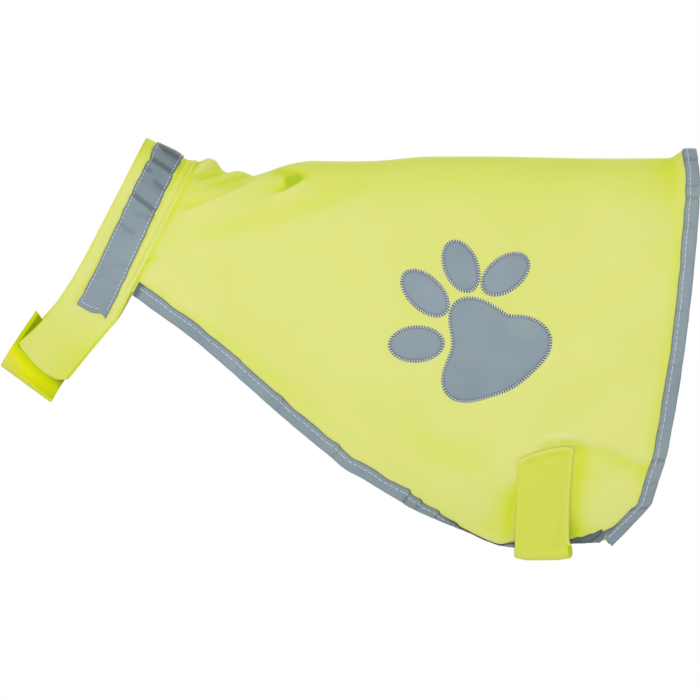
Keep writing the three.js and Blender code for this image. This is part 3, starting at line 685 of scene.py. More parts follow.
def wall(name, outer, inner, material, passes=30, shade=0, form=None):
    """A closed wall between two grids with the same rows and columns. Its hollows are measured from
    the form, a grid of the cloth without its creases, if there is one."""
    rows, columns = outer.shape[:2]
    index = np.arange(rows * columns).reshape(rows, columns)
    inside = index + rows * columns
    below, top = index[1:], index[:-1]
    under, over = below + rows * columns, top + rows * columns
    first, last = index[0], index[-1]
    faces = [
        quads(top[:, :-1], top[:, 1:], below[:, 1:], below[:, :-1]),
        quads(over[:, :-1], under[:, :-1], under[:, 1:], over[:, 1:]),
        quads(top[:, 0], below[:, 0], under[:, 0], over[:, 0]),
        quads(top[:, -1], over[:, -1], under[:, -1], below[:, -1]),
        quads(first[:-1], inside[0, :-1], inside[0, 1:], first[1:]),
        quads(last[:-1], last[1:], inside[-1, 1:], inside[-1, :-1]),
    ]
    faces = np.concatenate(faces)
    points = np.concatenate([outer.reshape(-1, 3), inner.reshape(-1, 3)])
    a, b, c = points[faces[:, 0]], points[faces[:, 1]], points[faces[:, 2]]
    d = points[faces[:, 3]]
    volume = np.sum(a * np.cross(b, c)) + np.sum(a * np.cross(c, d))
    if volume < 0:
        faces = faces[:, ::-1]
    uv = cut_lengths(outer).reshape(-1, 2)
    normals = unit(outer - inner)
    # Painted shade: the given shade, deepened in hollows of the cloth and paler where it stands out;
    # the inside takes part of the shade and the opposite of the hollows.
    depth = hollows(outer, normals, passes)
    if form is not None:
        depth = depth - hollows(form, normals, passes)
    depth = depth / PAINTED_SHADE_FULL_DEPTH
    depth = np.concatenate([(shade + depth).ravel(), (INSIDE_SHADE * shade - depth).ravel()])
    return as_object(name, points, faces.tolist(), material, np.concatenate([uv, uv]), depth)


THREAD_SIDES = 6
THREAD_END = 0.45                           # of its radius
STITCH_POINTS = 7
STITCH_LIFT, STITCH_SINK = 0.16, 0.12       # above and below the cloth
STITCH_ROUNDNESS = 0.6
STITCH_STRAYS = (0.12, 21)                  # by a share of its length, and a seed


def threads(name, paths, ups, radius, material, sides=THREAD_SIDES):
    """Short tubes: each path is a row of points, with a round section square to its run."""
    run = unit(np.gradient(paths, axis=1))
    side = unit(np.cross(run, ups))
    up = np.cross(side, run)
    turn = np.arange(sides) * 2 * math.pi / sides
    ring = side[:, :, None] * np.cos(turn)[:, None] + up[:, :, None] * np.sin(turn)[:, None]
    count, length = paths.shape[:2]
    taper = np.ones(length)
    taper[[0, -1]] = THREAD_END
    points = paths[:, :, None] + ring * (radius * taper)[None, :, None, None]
    index = np.arange(count * length * sides).reshape(count, length, sides)
    turned = np.roll(index, -1, axis=2)
    faces = np.stack([index[:, :-1], turned[:, :-1], turned[:, 1:], index[:, 1:]], axis=-1)
    faces = faces.reshape(-1, 4).tolist()
    faces += index[:, 0, ::-1].reshape(-1, sides).tolist()
    faces += index[:, -1].reshape(-1, sides).tolist()
    piece = as_object(name, points.reshape(-1, 3), faces, material)
    return piece


def stitch_paths(line, normals, length, gap):
    """A running stitch along a line on the cloth: threads of one length with gaps between, whose
    ends go down into the cloth."""
    at = length_along(line)
    pitch = length + gap
    start = np.arange(int((at[-1] - length) // pitch)) * pitch + gap / 2
    strays, seed = STITCH_STRAYS
    start = start + strays * length * uneven(start, pitch, seed)
    share = np.linspace(0, 1, STITCH_POINTS)
    place = start[:, None] + share * length
    up = unit(on_line(place, at, normals))
    height = lerp(-STITCH_SINK, STITCH_LIFT, np.sin(math.pi * share) ** STITCH_ROUNDNESS)
    return on_line(place, at, line) + up * height[None, :, None], up


# ------------------------------------------------------------------ materials
def material_nodes(name, **sockets):
    """A material with a principled shader whose constant sockets are set, and helpers to add and
    join nodes."""
    material = bpy.data.materials.new(name)
    material.use_nodes = True
    tree = material.node_tree
    shader = tree.nodes["Principled BSDF"]
    for socket, value in sockets.items():
        shader.inputs[socket.replace("_", " ")].default_value = value

    def add(kind, inputs=None, **settings):
        """A node with its settings, its inputs set to values or joined to other nodes."""
        node = tree.nodes.new(kind)
        for key, value in settings.items():
            setattr(node, key, value)
        for key, value in (inputs or {}).items():
            if isinstance(value, bpy.types.NodeSocket):
                tree.links.new(value, node.inputs[key])
            else:
                node.inputs[key].default_value = value
        return node

    return material, shader, add, tree.links.new


def mixed(add, factor, first, second):
    """A colour between two others."""
    node = add("ShaderNodeMix", data_type="RGBA")
    tree = node.id_data
    for socket, value in ((node.inputs[0], factor), (node.inputs[6], first), (node.inputs[7], second)):
        if isinstance(value, bpy.types.NodeSocket):
            tree.links.new(value, socket)
        else:
            socket.default_value = value
    return node.outputs[2]


def remap(add, value, low, high):
    """A value from 0 at low to 1 at high."""
    node = add("ShaderNodeMapRange", {"Value": value, "From Min": low, "From Max": high})
    return node.outputs["Result"]


def painted_light_by_depth(add, depth, colour, layers):
    """Painted light: a colour that goes over to each layer's in turn, as the depth passes from the
    layer's first number to its second."""
    for low, high, deeper in layers:
        colour = mixed(add, remap(add, depth, low, high), colour, deeper)
    return colour


def clouded(add, place, scale, detail, span, first, second):
    """A colour that wanders between two others in soft clouds."""
    cloud = add("ShaderNodeTexNoise", {"Vector": place, "Scale": scale, "Detail": detail})
    return mixed(add, remap(add, cloud.outputs["Fac"], *span), first, second)


def relief(add, link, shader, height, strength, depth, invert=False):
    """Fine bumps in a material, as deep as depth in metres."""
    bumps = add("ShaderNodeBump", {"Height": height, "Strength": strength, "Distance": depth})
    bumps.invert = invert
    link(bumps.outputs[0], shader.inputs["Normal"])


def weave_height(add, uv, pitch):
    """Plain weave: two sets of round yarns, crossing over and under, from two sine waves."""
    cut = add("ShaderNodeSeparateXYZ", {0: uv})
    waves = []
    for axis in ("X", "Y"):
        turn = add("ShaderNodeMath", {0: cut.outputs[axis], 1: math.pi / pitch}, operation="MULTIPLY")
        waves.append(add("ShaderNodeMath", {0: turn.outputs[0]}, operation="SINE").outputs[0])
    return add("ShaderNodeMath", {0: waves[0], 1: waves[1]}, operation="MULTIPLY").outputs[0]


# Colours are red, green, blue and cover. Each layer of painted light takes over between two depths,
# where 0 is level and 1 is the deepest hollow: deeper painted shade in hollows, and a paler painted
# highlight below 0.
CLOTH_TONES = (0.745, 0.785, 0.205, 1), (0.775, 0.805, 0.245, 1)
CLOTH_PAINTED_LIGHT = (
    (-0.22, -0.8, (0.80, 0.825, 0.32, 1)),
    (0, 0.5, (0.68, 0.775, 0.045, 1)),
    (0.5, 1.0, (0.46, 0.62, 0.02, 1)))
# Painted shade: how much the strap's copy of the cloth deepens each colour's red, green and blue.
STRAP_PAINTED_SHADE = (0.91, 0.94, 0.42)
PILE_TONES = (0.80, 0.83, 0.003, 1), (0.90, 0.87, 0.006, 1)
PILE_PAINTED_LIGHT = (
    (0, -1, (0.78, 0.80, 0.13, 1)),
    (0, 1, (0.60, 0.72, 0.002, 1)),
    (1, 2, (0.28, 0.33, 0.004, 1)))
FILM_TONES = (0.245, 0.312, 0.357, 1), (0.282, 0.343, 0.395, 1)
FILM_PATCHES = (0.292, 0.368, 0.375, 1)
FILM_PAINTED_SHADE = ((0.04, 1.0, (0.085, 0.115, 0.125, 1)),)
THREAD_TONES = (0.78, 0.82, 0.86, 1), (0.93, 0.95, 0.95, 1)
# The spacing of the yarns, in metres.
CLOTH_WEAVE, FILM_WEAVE = 0.00042, 0.0006


def yellow_cloth():
    """Fluorescent plain-weave polyester with faint slubs and a soft sheen, and painted light: paler
    where it stands out, as a painted highlight, and richer in its hollows, as painted shade."""
    material, shader, add, link = material_nodes(
        "yellow_cloth", Roughness=0.82, Sheen_Weight=0.12, Sheen_Roughness=0.4,
        Sheen_Tint=(1, 1, 0.8, 1), Specular_IOR_Level=0.25)
    uv = add("ShaderNodeUVMap", uv_map="cut").outputs["UV"]
    depth = add("ShaderNodeAttribute", attribute_name="hollow").outputs["Fac"]
    place = add("ShaderNodeTexCoord").outputs["Object"]
    tone = clouded(add, place, 9.0, 2.0, (0.35, 0.65), *CLOTH_TONES)
    link(painted_light_by_depth(add, depth, tone, CLOTH_PAINTED_LIGHT), shader.inputs["Base Color"])
    slub_place = add("ShaderNodeMapping", {"Vector": uv, "Scale": (60, 900, 1)})
    slub = add("ShaderNodeTexNoise", {"Vector": slub_place.outputs[0], "Scale": 1.0, "Detail": 2.0})
    weave = weave_height(add, uv, CLOTH_WEAVE)
    height = add("ShaderNodeMath", {0: slub.outputs["Fac"], 1: weave}, operation="ADD").outputs[0]
    relief(add, link, shader, height, strength=0.12, depth=0.0001)
    return material


def strap_cloth():
    """The same cloth doubled, every colour deepened as painted shade for its face turned down and in.
    """
    material = yellow_cloth()
    material.name = "strap_cloth"
    for node in material.node_tree.nodes:
        if node.bl_idname == "ShaderNodeMix":
            for socket in (node.inputs[6], node.inputs[7]):
                if not socket.is_linked:
                    *colour, cover = socket.default_value
                    deeper = [light * share for light, share in zip(colour, STRAP_PAINTED_SHADE)]
                    socket.default_value = (*deeper, cover)
    return material


def loop_pile():
    """Loop-fastener pile: short fuzzy loops in uneven rows."""
    material, shader, add, link = material_nodes(
        "loop_pile", Roughness=0.95, Sheen_Weight=0.03, Sheen_Roughness=0.6,
        Sheen_Tint=(1, 1, 0.3, 1), Specular_IOR_Level=0.05)
    uv = add("ShaderNodeUVMap", uv_map="cut").outputs["UV"]
    tuft = add("ShaderNodeTexVoronoi", {"Vector": uv, "Scale": 1400.0})
    tone = clouded(add, uv, 60.0, 3.0, (0.3, 0.7), *PILE_TONES)
    # The hollow attribute carries the pile's painted light: paler toward its head edge and along the
    # fold, greener toward its shoulder edge, and olive in the left tail's painted shadow.
    depth = add("ShaderNodeAttribute", attribute_name="hollow").outputs["Fac"]
    link(painted_light_by_depth(add, depth, tone, PILE_PAINTED_LIGHT), shader.inputs["Base Color"])
    relief(add, link, shader, tuft.outputs["Distance"], strength=0.45, depth=0.0004, invert=True)
    return material


def reflective():
    """Retroreflective tape: a satin grey-blue film of tiny beads on cloth, with painted shade in its
    creases and where it turns from the light.
    """
    material, shader, add, link = material_nodes(
        "reflective", Roughness=0.55, Metallic=0.1, Specular_IOR_Level=0.2)
    uv = add("ShaderNodeUVMap", uv_map="cut").outputs["UV"]
    depth = add("ShaderNodeAttribute", attribute_name="hollow").outputs["Fac"]
    place = add("ShaderNodeTexCoord").outputs["Object"]
    tone = clouded(add, place, 32.0, 3.0, (0.3, 0.7), *FILM_TONES)
    tinted = clouded(add, place, 21.0, 1.0, (0.5, 0.8), tone, FILM_PATCHES)
    link(painted_light_by_depth(add, depth, tinted, FILM_PAINTED_SHADE), shader.inputs["Base Color"])
    beads = add("ShaderNodeTexVoronoi", {"Vector": uv, "Scale": 5200.0}).outputs["Distance"]
    weave = weave_height(add, uv, FILM_WEAVE)
    height = add("ShaderNodeMath", {0: beads, 1: weave}, operation="ADD").outputs[0]
    relief(add, link, shader, height, strength=0.12, depth=0.0001)
    return material


def sewing_thread():
    """White polyester thread, twisted."""
    material, shader, add, link = material_nodes(
        "sewing_thread", Roughness=0.55, Sheen_Weight=0.2, Specular_IOR_Level=0.4)
    place = add("ShaderNodeTexCoord").outputs["Object"]
    twist = add("ShaderNodeTexNoise", {"Vector": place, "Scale": 2600.0, "Detail": 1.0}).outputs["Fac"]
    link(mixed(add, twist, *THREAD_TONES), shader.inputs["Base Color"])
    relief(add, link, shader, twist, strength=0.2, depth=0.0001)
    return material


CLOTH = yellow_cloth()
STRAP_CLOTH = strap_cloth()
PILE = loop_pile()
REFLECTIVE = reflective()
THREAD = sewing_thread()


# ------------------------------------------------------------------ neck pieces
RIM_STEP = 0.35                             # where the row inside a rim's edge lies
RIM_THINNEST = 0.3


def edge_shares(count, rim):
    """Shares from 0 to 1 with two extra close rows at each end, where a rim is rounded off."""
    inner = np.linspace(rim, 1 - rim, count)
    return np.concatenate([[0, rim * RIM_STEP], inner, [1 - rim * RIM_STEP, 1]])


def rim_thickness(shares, rim):
    """1 across the cloth, and down to a third at its two ends, on a quarter circle."""
    near = np.minimum(shares, 1 - shares) / rim
    arc = np.sqrt(np.clip(1 - (1 - near) ** 2, 0, 1))
    return np.where(near < 1, lerp(RIM_THINNEST, 1, arc), 1)


def strip_grid(rows, end_rim, columns, side_rim):
    """A strip's shares along and across it, and its thickness there, which is 1 inside its rims."""
    down, side = edge_shares(rows, end_rim)[:, None], edge_shares(columns, side_rim)
    return down, side, rim_thickness(side, side_rim) * rim_thickness(down, end_rim)


def arch(side):
    """1 along the middle of a strip and 0 at its two edges: half a wave of a cosine."""
    return np.cos(math.pi * (side - 0.5))


def right_tail_drift(angle, across):
    """Past the throat the right tail runs on square to the throat fold, under the left tail."""
    left = throat_reach(across) * (1 + np.cos(np.radians(angle))) / 2
    settled = np.where(angle > 180, 1, bump(left, TAIL_SETTLES))
    return np.where(angle > 90, -TAIL_DRIFT * left * (1 - left / TAIL_BENDS) * settled, 0)


TAIL_LAYERS = CLOTH_WALL + PILE_WALL + 2 * SEAM_GAP


def tail_inset(angle):
    """How far in the right tail lies, to pass under the left one."""
    return TAIL_LAYERS * smoothstep(angle, *TAIL_DROP)


def return_angle(across):
    """The angle at which the right tail ends, at a place across it."""
    reach = NECK_REACH - RIGHT_TAIL_RETURN + RIGHT_TAIL_SLANT * across
    return 360 - angle_at_reach(reach, 0)


def left_end(across):
    """The left tail's end bulges between its corners, and is shorter at the shoulder edge."""
    place = across / (BAND_WIDTH / 2)
    reach = LEFT_TAIL_REACH + LEFT_TAIL_ROUND * (1 - place**2)
    reach = reach + LEFT_TAIL_POINT["size"] * smoothstep(-place, LEFT_TAIL_POINT["from"], 1)
    reach = reach - LEFT_TAIL_CORNER["size"] * smoothstep(place, LEFT_TAIL_CORNER["from"], 1) ** 2
    return -angle_at_reach(reach, across)


def spread(angle, across):
    """The strip lies a little wider as it nears the throat, and stays so to the right tail's end."""
    return across * (1 + TAIL_SPREAD["share"] * smoothstep(np.abs(angle), *TAIL_SPREAD["angles"]))


def band_layer(angle, across, out):
    """A place on the neck surface, drifted and set in as the right tail is."""
    drift = right_tail_drift(angle, across)
    return neck_layer(angle, across + drift, out - tail_inset(angle))


def side_reach(angle):
    """The distance from the nape seen from the side, at an angle round the ring."""
    return throat_reach(0) * (1 - np.cos(np.radians(angle))) / 2


BAND_GRID = {"rows": 400, "end_rim": 0.0015, "columns": 64, "side_rim": 0.02}
TOPSTITCH_ACROSS = BAND_WIDTH / 2 - 4.4
SEAM_ENDS = (88, 96)                        # the angles over which the shoulder seam runs out
# Ridges, grooves and lines of shade are given by size and width, waves by size, spacing and seed.
SEAM_RIDGE, SEAM_RIDGE_ACROSS = (0.7, 1.5), TOPSTITCH_ACROSS + 2.3
SEAM_GROOVE = (0.5, 0.75)
SEAM_PUCKER, SEAM_PUCKER_WIDTH = (0.22, 2.5, 33), 3
BAND_SLACK = (0.3, 13.125, 31)
NAPE_SHADE, GROOVE_SHADE = (0.45, 26), (0.35, 0.75)
TAPE_SIDE_SHADE, TAPE_MIDDLE = (0.3, 1.6), 1
HEAD_FOLD_SHADE, SHOULDER_SEAM_SHADE = (0.35, 2), (0.4, 0.8)
TAIL_SIDE_SHADE, TAIL_SIDE_INSET = (0.6, 0.7), 1.4
LEFT_TAIL_SHADE = {"angles": (100, 130), "head": 0.1, "shoulder": 0.34, "side": (0.3, 0.95)}


def neck_band():
    """The folded neck strip: a grid of angle by place across, with a round fold at its head edge and
    a stitched ridge along its shoulder edge."""
    down, side, thick = strip_grid(**BAND_GRID)
    across = BAND_WIDTH * (side - 0.5)
    angle = lerp(left_end(across), return_angle(across), down)
    reach = side_reach(angle)
    seamed = 1 - smoothstep(np.abs(angle), *SEAM_ENDS)
    from_stitch = across - TOPSTITCH_ACROSS
    ridge = swell(across - SEAM_RIDGE_ACROSS, *SEAM_RIDGE) - swell(from_stitch, *SEAM_GROOVE)
    pucker = wave(angle, *SEAM_PUCKER) * bump(from_stitch, SEAM_PUCKER_WIDTH)
    out = (ridge + pucker) * seamed + wave(angle, *BAND_SLACK) * arch(side)
    bulge = SHOULDER_BULGE["size"] * bump(reach - SHOULDER_BULGE["reach"], SHOULDER_BULGE["length"])
    bulge = bulge * smoothstep(side, 0.5, 1) * (np.abs(angle) < SHOULDER_BULGE["angle"])
    flare = LEFT_TAIL_FLARE["size"] * smoothstep(-angle, *LEFT_TAIL_FLARE["angles"])
    flare = flare * (1 - smoothstep(side, *LEFT_TAIL_FLARE["side"]))
    wide = spread(angle, across) + bulge - flare
    outer = band_layer(angle, wide, out + thick * CLOTH_WALL / 2)
    inner = band_layer(angle, wide, out - thick * CLOTH_WALL / 2)
    beside_tape = np.abs(across - TAPE_MIDDLE) - NECK_TAPE_WIDTH / 2
    head_edge, shoulder_edge = across + BAND_WIDTH / 2, across - BAND_WIDTH / 2
    shade = swell(reach, *NAPE_SHADE) + swell(head_edge, *HEAD_FOLD_SHADE)
    shade = shade + swell(beside_tape, *TAPE_SIDE_SHADE) * (reach < NECK_TAPE_REACH)
    seam_shade = swell(from_stitch, *GROOVE_SHADE) + swell(shoulder_edge, *SHOULDER_SEAM_SHADE)
    tail_shade = swell(shoulder_edge + TAIL_SIDE_INSET, *TAIL_SIDE_SHADE)
    shade = shade + lerp(tail_shade, seam_shade, seamed)
    toward_edge = smoothstep(side, *LEFT_TAIL_SHADE["side"])
    left_tail_painted_shade = lerp(LEFT_TAIL_SHADE["head"], LEFT_TAIL_SHADE["shoulder"], toward_edge)
    shade = shade + smoothstep(-angle, *LEFT_TAIL_SHADE["angles"]) * left_tail_painted_shade
    return wall("neck_band_cloth", outer, inner, CLOTH, shade=shade)


PILE_GRID = {"rows": 150, "end_rim": 0.004, "columns": 36, "side_rim": 0.025}
PILE_GAP = 0.1
PILE_WAVE = (0.15, 9 / 1.7, 41)
# The pile's painted shade at its two edges, then by how far past the throat fold it is: in the left
# tail's painted shadow, at its head edge there, and a painted highlight along the fold itself.
PILE_EDGE_SHADES = (-0.7, 0.9)
PILE_SHADED, PILE_SHADED_PAST = 1.7, (10, 28)
PILE_HEAD = {"shade": 1.4, "side": (0.05, 0.1), "past": (22, 28)}
PILE_FOLD = {"shade": -1.4, "angles": (176, 179), "past": (1.4, 4.2)}


def neck_loop_tape():
    """Loop pile over the end of the right tail, from before the throat to the tail's end. Its painted
    light is paler toward the head edge and deeper toward the shoulder edge, and greenest where the
    tail's end lies in the left tail's painted shadow."""
    down, side, thick = strip_grid(**PILE_GRID)
    across = BAND_WIDTH * (side - 0.5)
    start = angle_at_reach(NECK_REACH - LOOP_TAPE_START, 0)
    angle = lerp(start, return_angle(across), down)
    low = CLOTH_WALL / 2 + PILE_GAP + wave(angle, *PILE_WAVE)
    wide = spread(angle, across)
    outer = band_layer(angle, wide, low + PILE_WALL * thick)
    inner = band_layer(angle, wide, low)
    past = (throat_reach(0) - side_reach(angle)) * (angle > 180)
    shade = lerp(*PILE_EDGE_SHADES, side) + PILE_SHADED * smoothstep(past, *PILE_SHADED_PAST)
    head_painted_shadow = smoothstep(side, *PILE_HEAD["side"]) * smoothstep(past, *PILE_HEAD["past"])
    fold_painted_highlight = smoothstep(angle, *PILE_FOLD["angles"]) * (1 - smoothstep(past, *PILE_FOLD["past"]))
    shade = shade + PILE_HEAD["shade"] * head_painted_shadow + PILE_FOLD["shade"] * fold_painted_highlight
    return wall("neck_loop_tape_pile", outer, inner, PILE, shade=shade)


# Creases across the neck tape: how far they are from the nape at the head edge and at the shoulder
# edge, and the part of the width that they cross.
TAPE_CREASES = table(
    ("head", "shoulder", "width", "height", "start", "end"),
    (1, 3.5, 2.2, -1.2, -0.3, 1.3),
    (7, 10.5, 2.6, 1.0, -0.3, 1.3),
    (14.7, 18.7, 2, -1.6, -0.3, 1.3),
    (18.2, 22.6, 2.2, 0.9, -0.3, 1.3),
    (23.5, 30, 2, -0.9, -0.3, 0.4),
    (27, 36, 2.4, -1.1, 0.4, 1.3),
    (35, 43, 3, 0.7, -0.3, 1.3),
    (46.8, 54, 2.3, -1.5, -0.3, 1.3),
    (50.5, 58.5, 2.4, 0.9, -0.3, 1.3),
    (66, 61, 2.2, -0.5, 0.35, 1.3),
    (74, 81, 2.6, -0.6, -0.3, 0.75),
    (78, 84, 2.2, 0.5, -0.3, 1.3),
    (99, 104, 2.6, 0.35, -0.3, 1.3),
    (112, 108, 3, -0.15, 0.2, 1.3),
    (126, 121, 3.4, -0.15, -0.3, 1.3),
)
TAPE_CREASE_WANDER, TAPE_CREASE_TURNS = 1.2, 3
TAPE_CREASE_FADE = 0.2
TAPE_END_NOTCH = {"side": 0.82, "width": 0.2, "size": 3.4}
TAPE_GRID = {"rows": 460, "end_rim": 0.002, "columns": 38, "side_rim": 0.025}
TAPE_GAP = 0.35
TAPE_WIDENS = 0.05
TAPE_NIP = 0.5
TAPE_EDGE_WANDER = {"nape": 0.6, "end": 0.25, "reach": (60, 90)}
TAPE_EDGE_WAVE, TAPE_EDGES_APART = (8, 51), 60
TAPE_SLACK = (0.35, 12, 61)
TAPE_PUCKER, TAPE_PUCKER_FROM = (0.3, 4.2, 62), 0.55
TAPE_LOWEST = -0.25
# Shade in the tape's creases, on the nape's crest, round it, along the edges, and in the hollow
# beside the crest toward the shoulders.
TAPE_CREASE_SHADE = 0.36
TAPE_CREST_SHADE, TAPE_NAPE_SHADE, TAPE_EDGE_SHADE = (0.5, 4), (0.3, 70), (0.5, 0.025)
TAPE_FOLD_SHADE, TAPE_FOLD_REACH, TAPE_FOLD_SIDE = (0.9, 5), (1, 4.5), (0.1, 0.5)
# Stitches by their length and the gap after each, and how far from the ends their rows lie.
TAPE_STITCH_SIDES = (0.085, 0.915)
TAPE_STITCH, TAPE_END_STITCH = (2.7, 1.2), (3.7, 0.5)
TAPE_STITCH_ROW, TAPE_STITCH_COLUMN = 6, 4
TAPE_THREAD = 0.21


def tape_creases(reach, side, valleys_only=False):
    """The creases' rise, or how strongly the valleys among them cross a place."""
    total = np.zeros(np.broadcast(reach, side).shape)
    for seed, crease in enumerate(each_row(TAPE_CREASES)):
        line = lerp(crease["head"], crease["shoulder"], side)
        line = line + TAPE_CREASE_WANDER * uneven(side * TAPE_CREASE_TURNS, 1, seed)
        here = bump(reach - line, crease["width"])
        here = here * smoothstep(side, crease["start"], crease["start"] + TAPE_CREASE_FADE)
        here = here * (1 - smoothstep(side, crease["end"] - TAPE_CREASE_FADE, crease["end"]))
        size = max(-crease["height"], 0) if valleys_only else crease["height"]
        total += size * here
    return total


def neck_tape_grid(down, side):
    """The tape's places and its rise: a grid of angle by place across. Its edges wander a little
    where its stitches draw it in, and are nipped where a crease crosses them."""
    notch = TAPE_END_NOTCH["size"] * bump(side - TAPE_END_NOTCH["side"], TAPE_END_NOTCH["width"])
    end = angle_at_reach(NECK_TAPE_REACH - notch, 0)
    angle = lerp(-end, end, down)
    share = (np.abs(angle) / end) ** NECK_TAPE_DRIFT["power"]
    drift = lerp(NECK_TAPE_DRIFT["nape"], NECK_TAPE_DRIFT["end"], share)
    reach = side_reach(angle)
    at_edge = np.abs(side - 0.5) * 2
    apart = reach * np.sign(angle) + TAPE_EDGES_APART * (side > 0.5)
    nip = TAPE_NIP * tape_creases(reach, np.round(side), valleys_only=True) * np.sign(side - 0.5)
    loose = smoothstep(reach, *TAPE_EDGE_WANDER["reach"])
    loose = lerp(TAPE_EDGE_WANDER["nape"], TAPE_EDGE_WANDER["end"], loose)
    wander = (loose * uneven(apart, *TAPE_EDGE_WAVE) - nip) * at_edge**2
    across = (side - 0.5) * NECK_TAPE_WIDTH * (1 + TAPE_WIDENS * share) + drift + wander
    rise = tape_creases(reach, side) + wave(reach, *TAPE_SLACK) * arch(side)
    rise = rise + wave(apart, *TAPE_PUCKER) * smoothstep(at_edge, TAPE_PUCKER_FROM, 1)
    return angle, across, np.maximum(rise, TAPE_LOWEST)


def neck_tape():
    """The reflective strip, its creases and its stitches along all four sides."""
    down, side, thick = strip_grid(**TAPE_GRID)
    angle, across, rise = neck_tape_grid(down, side)
    out = CLOTH_WALL / 2 + TAPE_GAP + rise - tail_inset(angle)
    outer = neck_layer(angle, across, out + TAPE_WALL * thick)
    inner = neck_layer(angle, across, out)
    reach = side_reach(angle)
    shade = TAPE_CREASE_SHADE * tape_creases(reach, side, valleys_only=True)
    shade = shade + swell(reach, *TAPE_CREST_SHADE) + swell(reach, *TAPE_NAPE_SHADE)
    shade = shade + swell(0.5 - np.abs(side - 0.5), *TAPE_EDGE_SHADE)
    fold = swell(reach - lerp(*TAPE_FOLD_REACH, side), *TAPE_FOLD_SHADE)
    shade = shade + fold * smoothstep(side, *TAPE_FOLD_SIDE)
    piece = wall("neck_tape_reflective", outer, inner, REFLECTIVE, passes=10, shade=shade)
    normals = grid_normals(outer, unit(outer - inner))
    rows = slice(TAPE_STITCH_ROW, -TAPE_STITCH_ROW)
    columns = slice(TAPE_STITCH_COLUMN, -TAPE_STITCH_COLUMN)
    lines = []
    for place in TAPE_STITCH_SIDES:
        lines.append((rows, np.argmin(np.abs(side - place)), TAPE_STITCH))
    for row in (TAPE_STITCH_ROW, -TAPE_STITCH_ROW - 1):
        lines.append((row, columns, TAPE_END_STITCH))
    paths = [stitch_paths(outer[row, column], normals[row, column], *stitch)
             for row, column, stitch in lines]
    return piece, sewn("neck_tape_stitches", paths, TAPE_THREAD)


def sewn(name, paths, radius):
    """Every thread of several stitch lines, as one piece."""
    lines = np.concatenate([line for line, _ in paths])
    ups = np.concatenate([up for _, up in paths])
    return threads(name, lines, ups, radius, THREAD)


# ------------------------------------------------------------------ panel and bindings
# The panel's grid: its columns run from a lead under the neck band to just inside the rear edge,
# closer at the neck by a mix of even and curved spacing; its rows are closer at the hems.
PANEL_COLUMNS, PANEL_ROWS = 212, 214
PANEL_LEAD, PANEL_LEAD_SINK = 0.006, 0.9
PANEL_REAR, PANEL_HEM = 0.9975, 0.998
COLUMN_CURVE, COLUMN_MIX = 1.9, 0.62
ROW_CURVE = 1.12
FROM_AXIS = (0, 0, 130)                     # up from a line inside the vest, which it goes round


def back_panel():
    """The panel: columns from just under the neck band to the rear edge, closer together at the
    neck, and rows from hem to hem, closer together at the hems."""
    column = np.linspace(0, 1, PANEL_COLUMNS)
    back = lerp(-PANEL_LEAD, PANEL_REAR, lerp(column, column**COLUMN_CURVE, COLUMN_MIX))
    row = np.linspace(-1, 1, PANEL_ROWS)[:, None]
    girth = PANEL_HEM * np.sign(row) * (1 - (1 - np.abs(row)) ** ROW_CURVE)
    back, girth = np.broadcast_arrays(back, girth)
    middle = panel_point(np.clip(back, 0, 1), girth)
    normal = grid_normals(middle, middle * (0, 1, 1) + FROM_AXIS)
    seam, hems = np.zeros_like(back[:, :1]), girth[:, :1]
    step = panel_point(seam + PANEL_LEAD, hems) - panel_point(seam, hems)
    under = np.clip(-back / PANEL_LEAD, 0, 1)[..., None]
    middle = middle - step * under - normal * under * PANEL_LEAD_SINK
    normal = grid_normals(middle, middle * (0, 1, 1) + FROM_AXIS)
    outer = middle + normal * PANEL_WALL / 2
    inner = middle - normal * PANEL_WALL / 2
    shade = panel_shade(back, girth, middle)
    form = rolled_panel(np.clip(back, 0, 1), girth)
    return wall("back_panel_cloth", outer, inner, CLOTH, passes=60, shade=shade, form=form)


def binding(back, girth):
    """The cloth's points, normals and way out over its edge, for a strip folded over the edge. back
    and girth hold a row for each station, from the edge to the leg's end."""
    on = panel_point(back, girth)
    return on, panel_normal(back, girth), unit(on[:, 0] - on[:, 1])


# A folded strip: points across each leg and round the fold, and the point that is stitched. Waves
# take their seed from the strip. Puckers and dents are weaker at the edge, and the rims are thinner.
LEG_POINTS = 9
STITCH_LEG = 5
FOLD_POINTS = 7
BINDING_STITCH, BINDING_THREAD = (4.3, 0.8), 0.24
BINDING_PUCKER, BINDING_RIPPLE, RIPPLE_LEAN = (0.22, 3.6), (0.3, 8.5), 9
PUCKER_AT_EDGE, DENT_AT_EDGE = 0.35, 0.4    # of what it is further in
BINDING_RISE = (-0.25, 1.6)
BINDING_RIM = {"from": 0.93, "thinner": 0.6}
BINDING_RIM_SHADE = (0.7, 0.02)


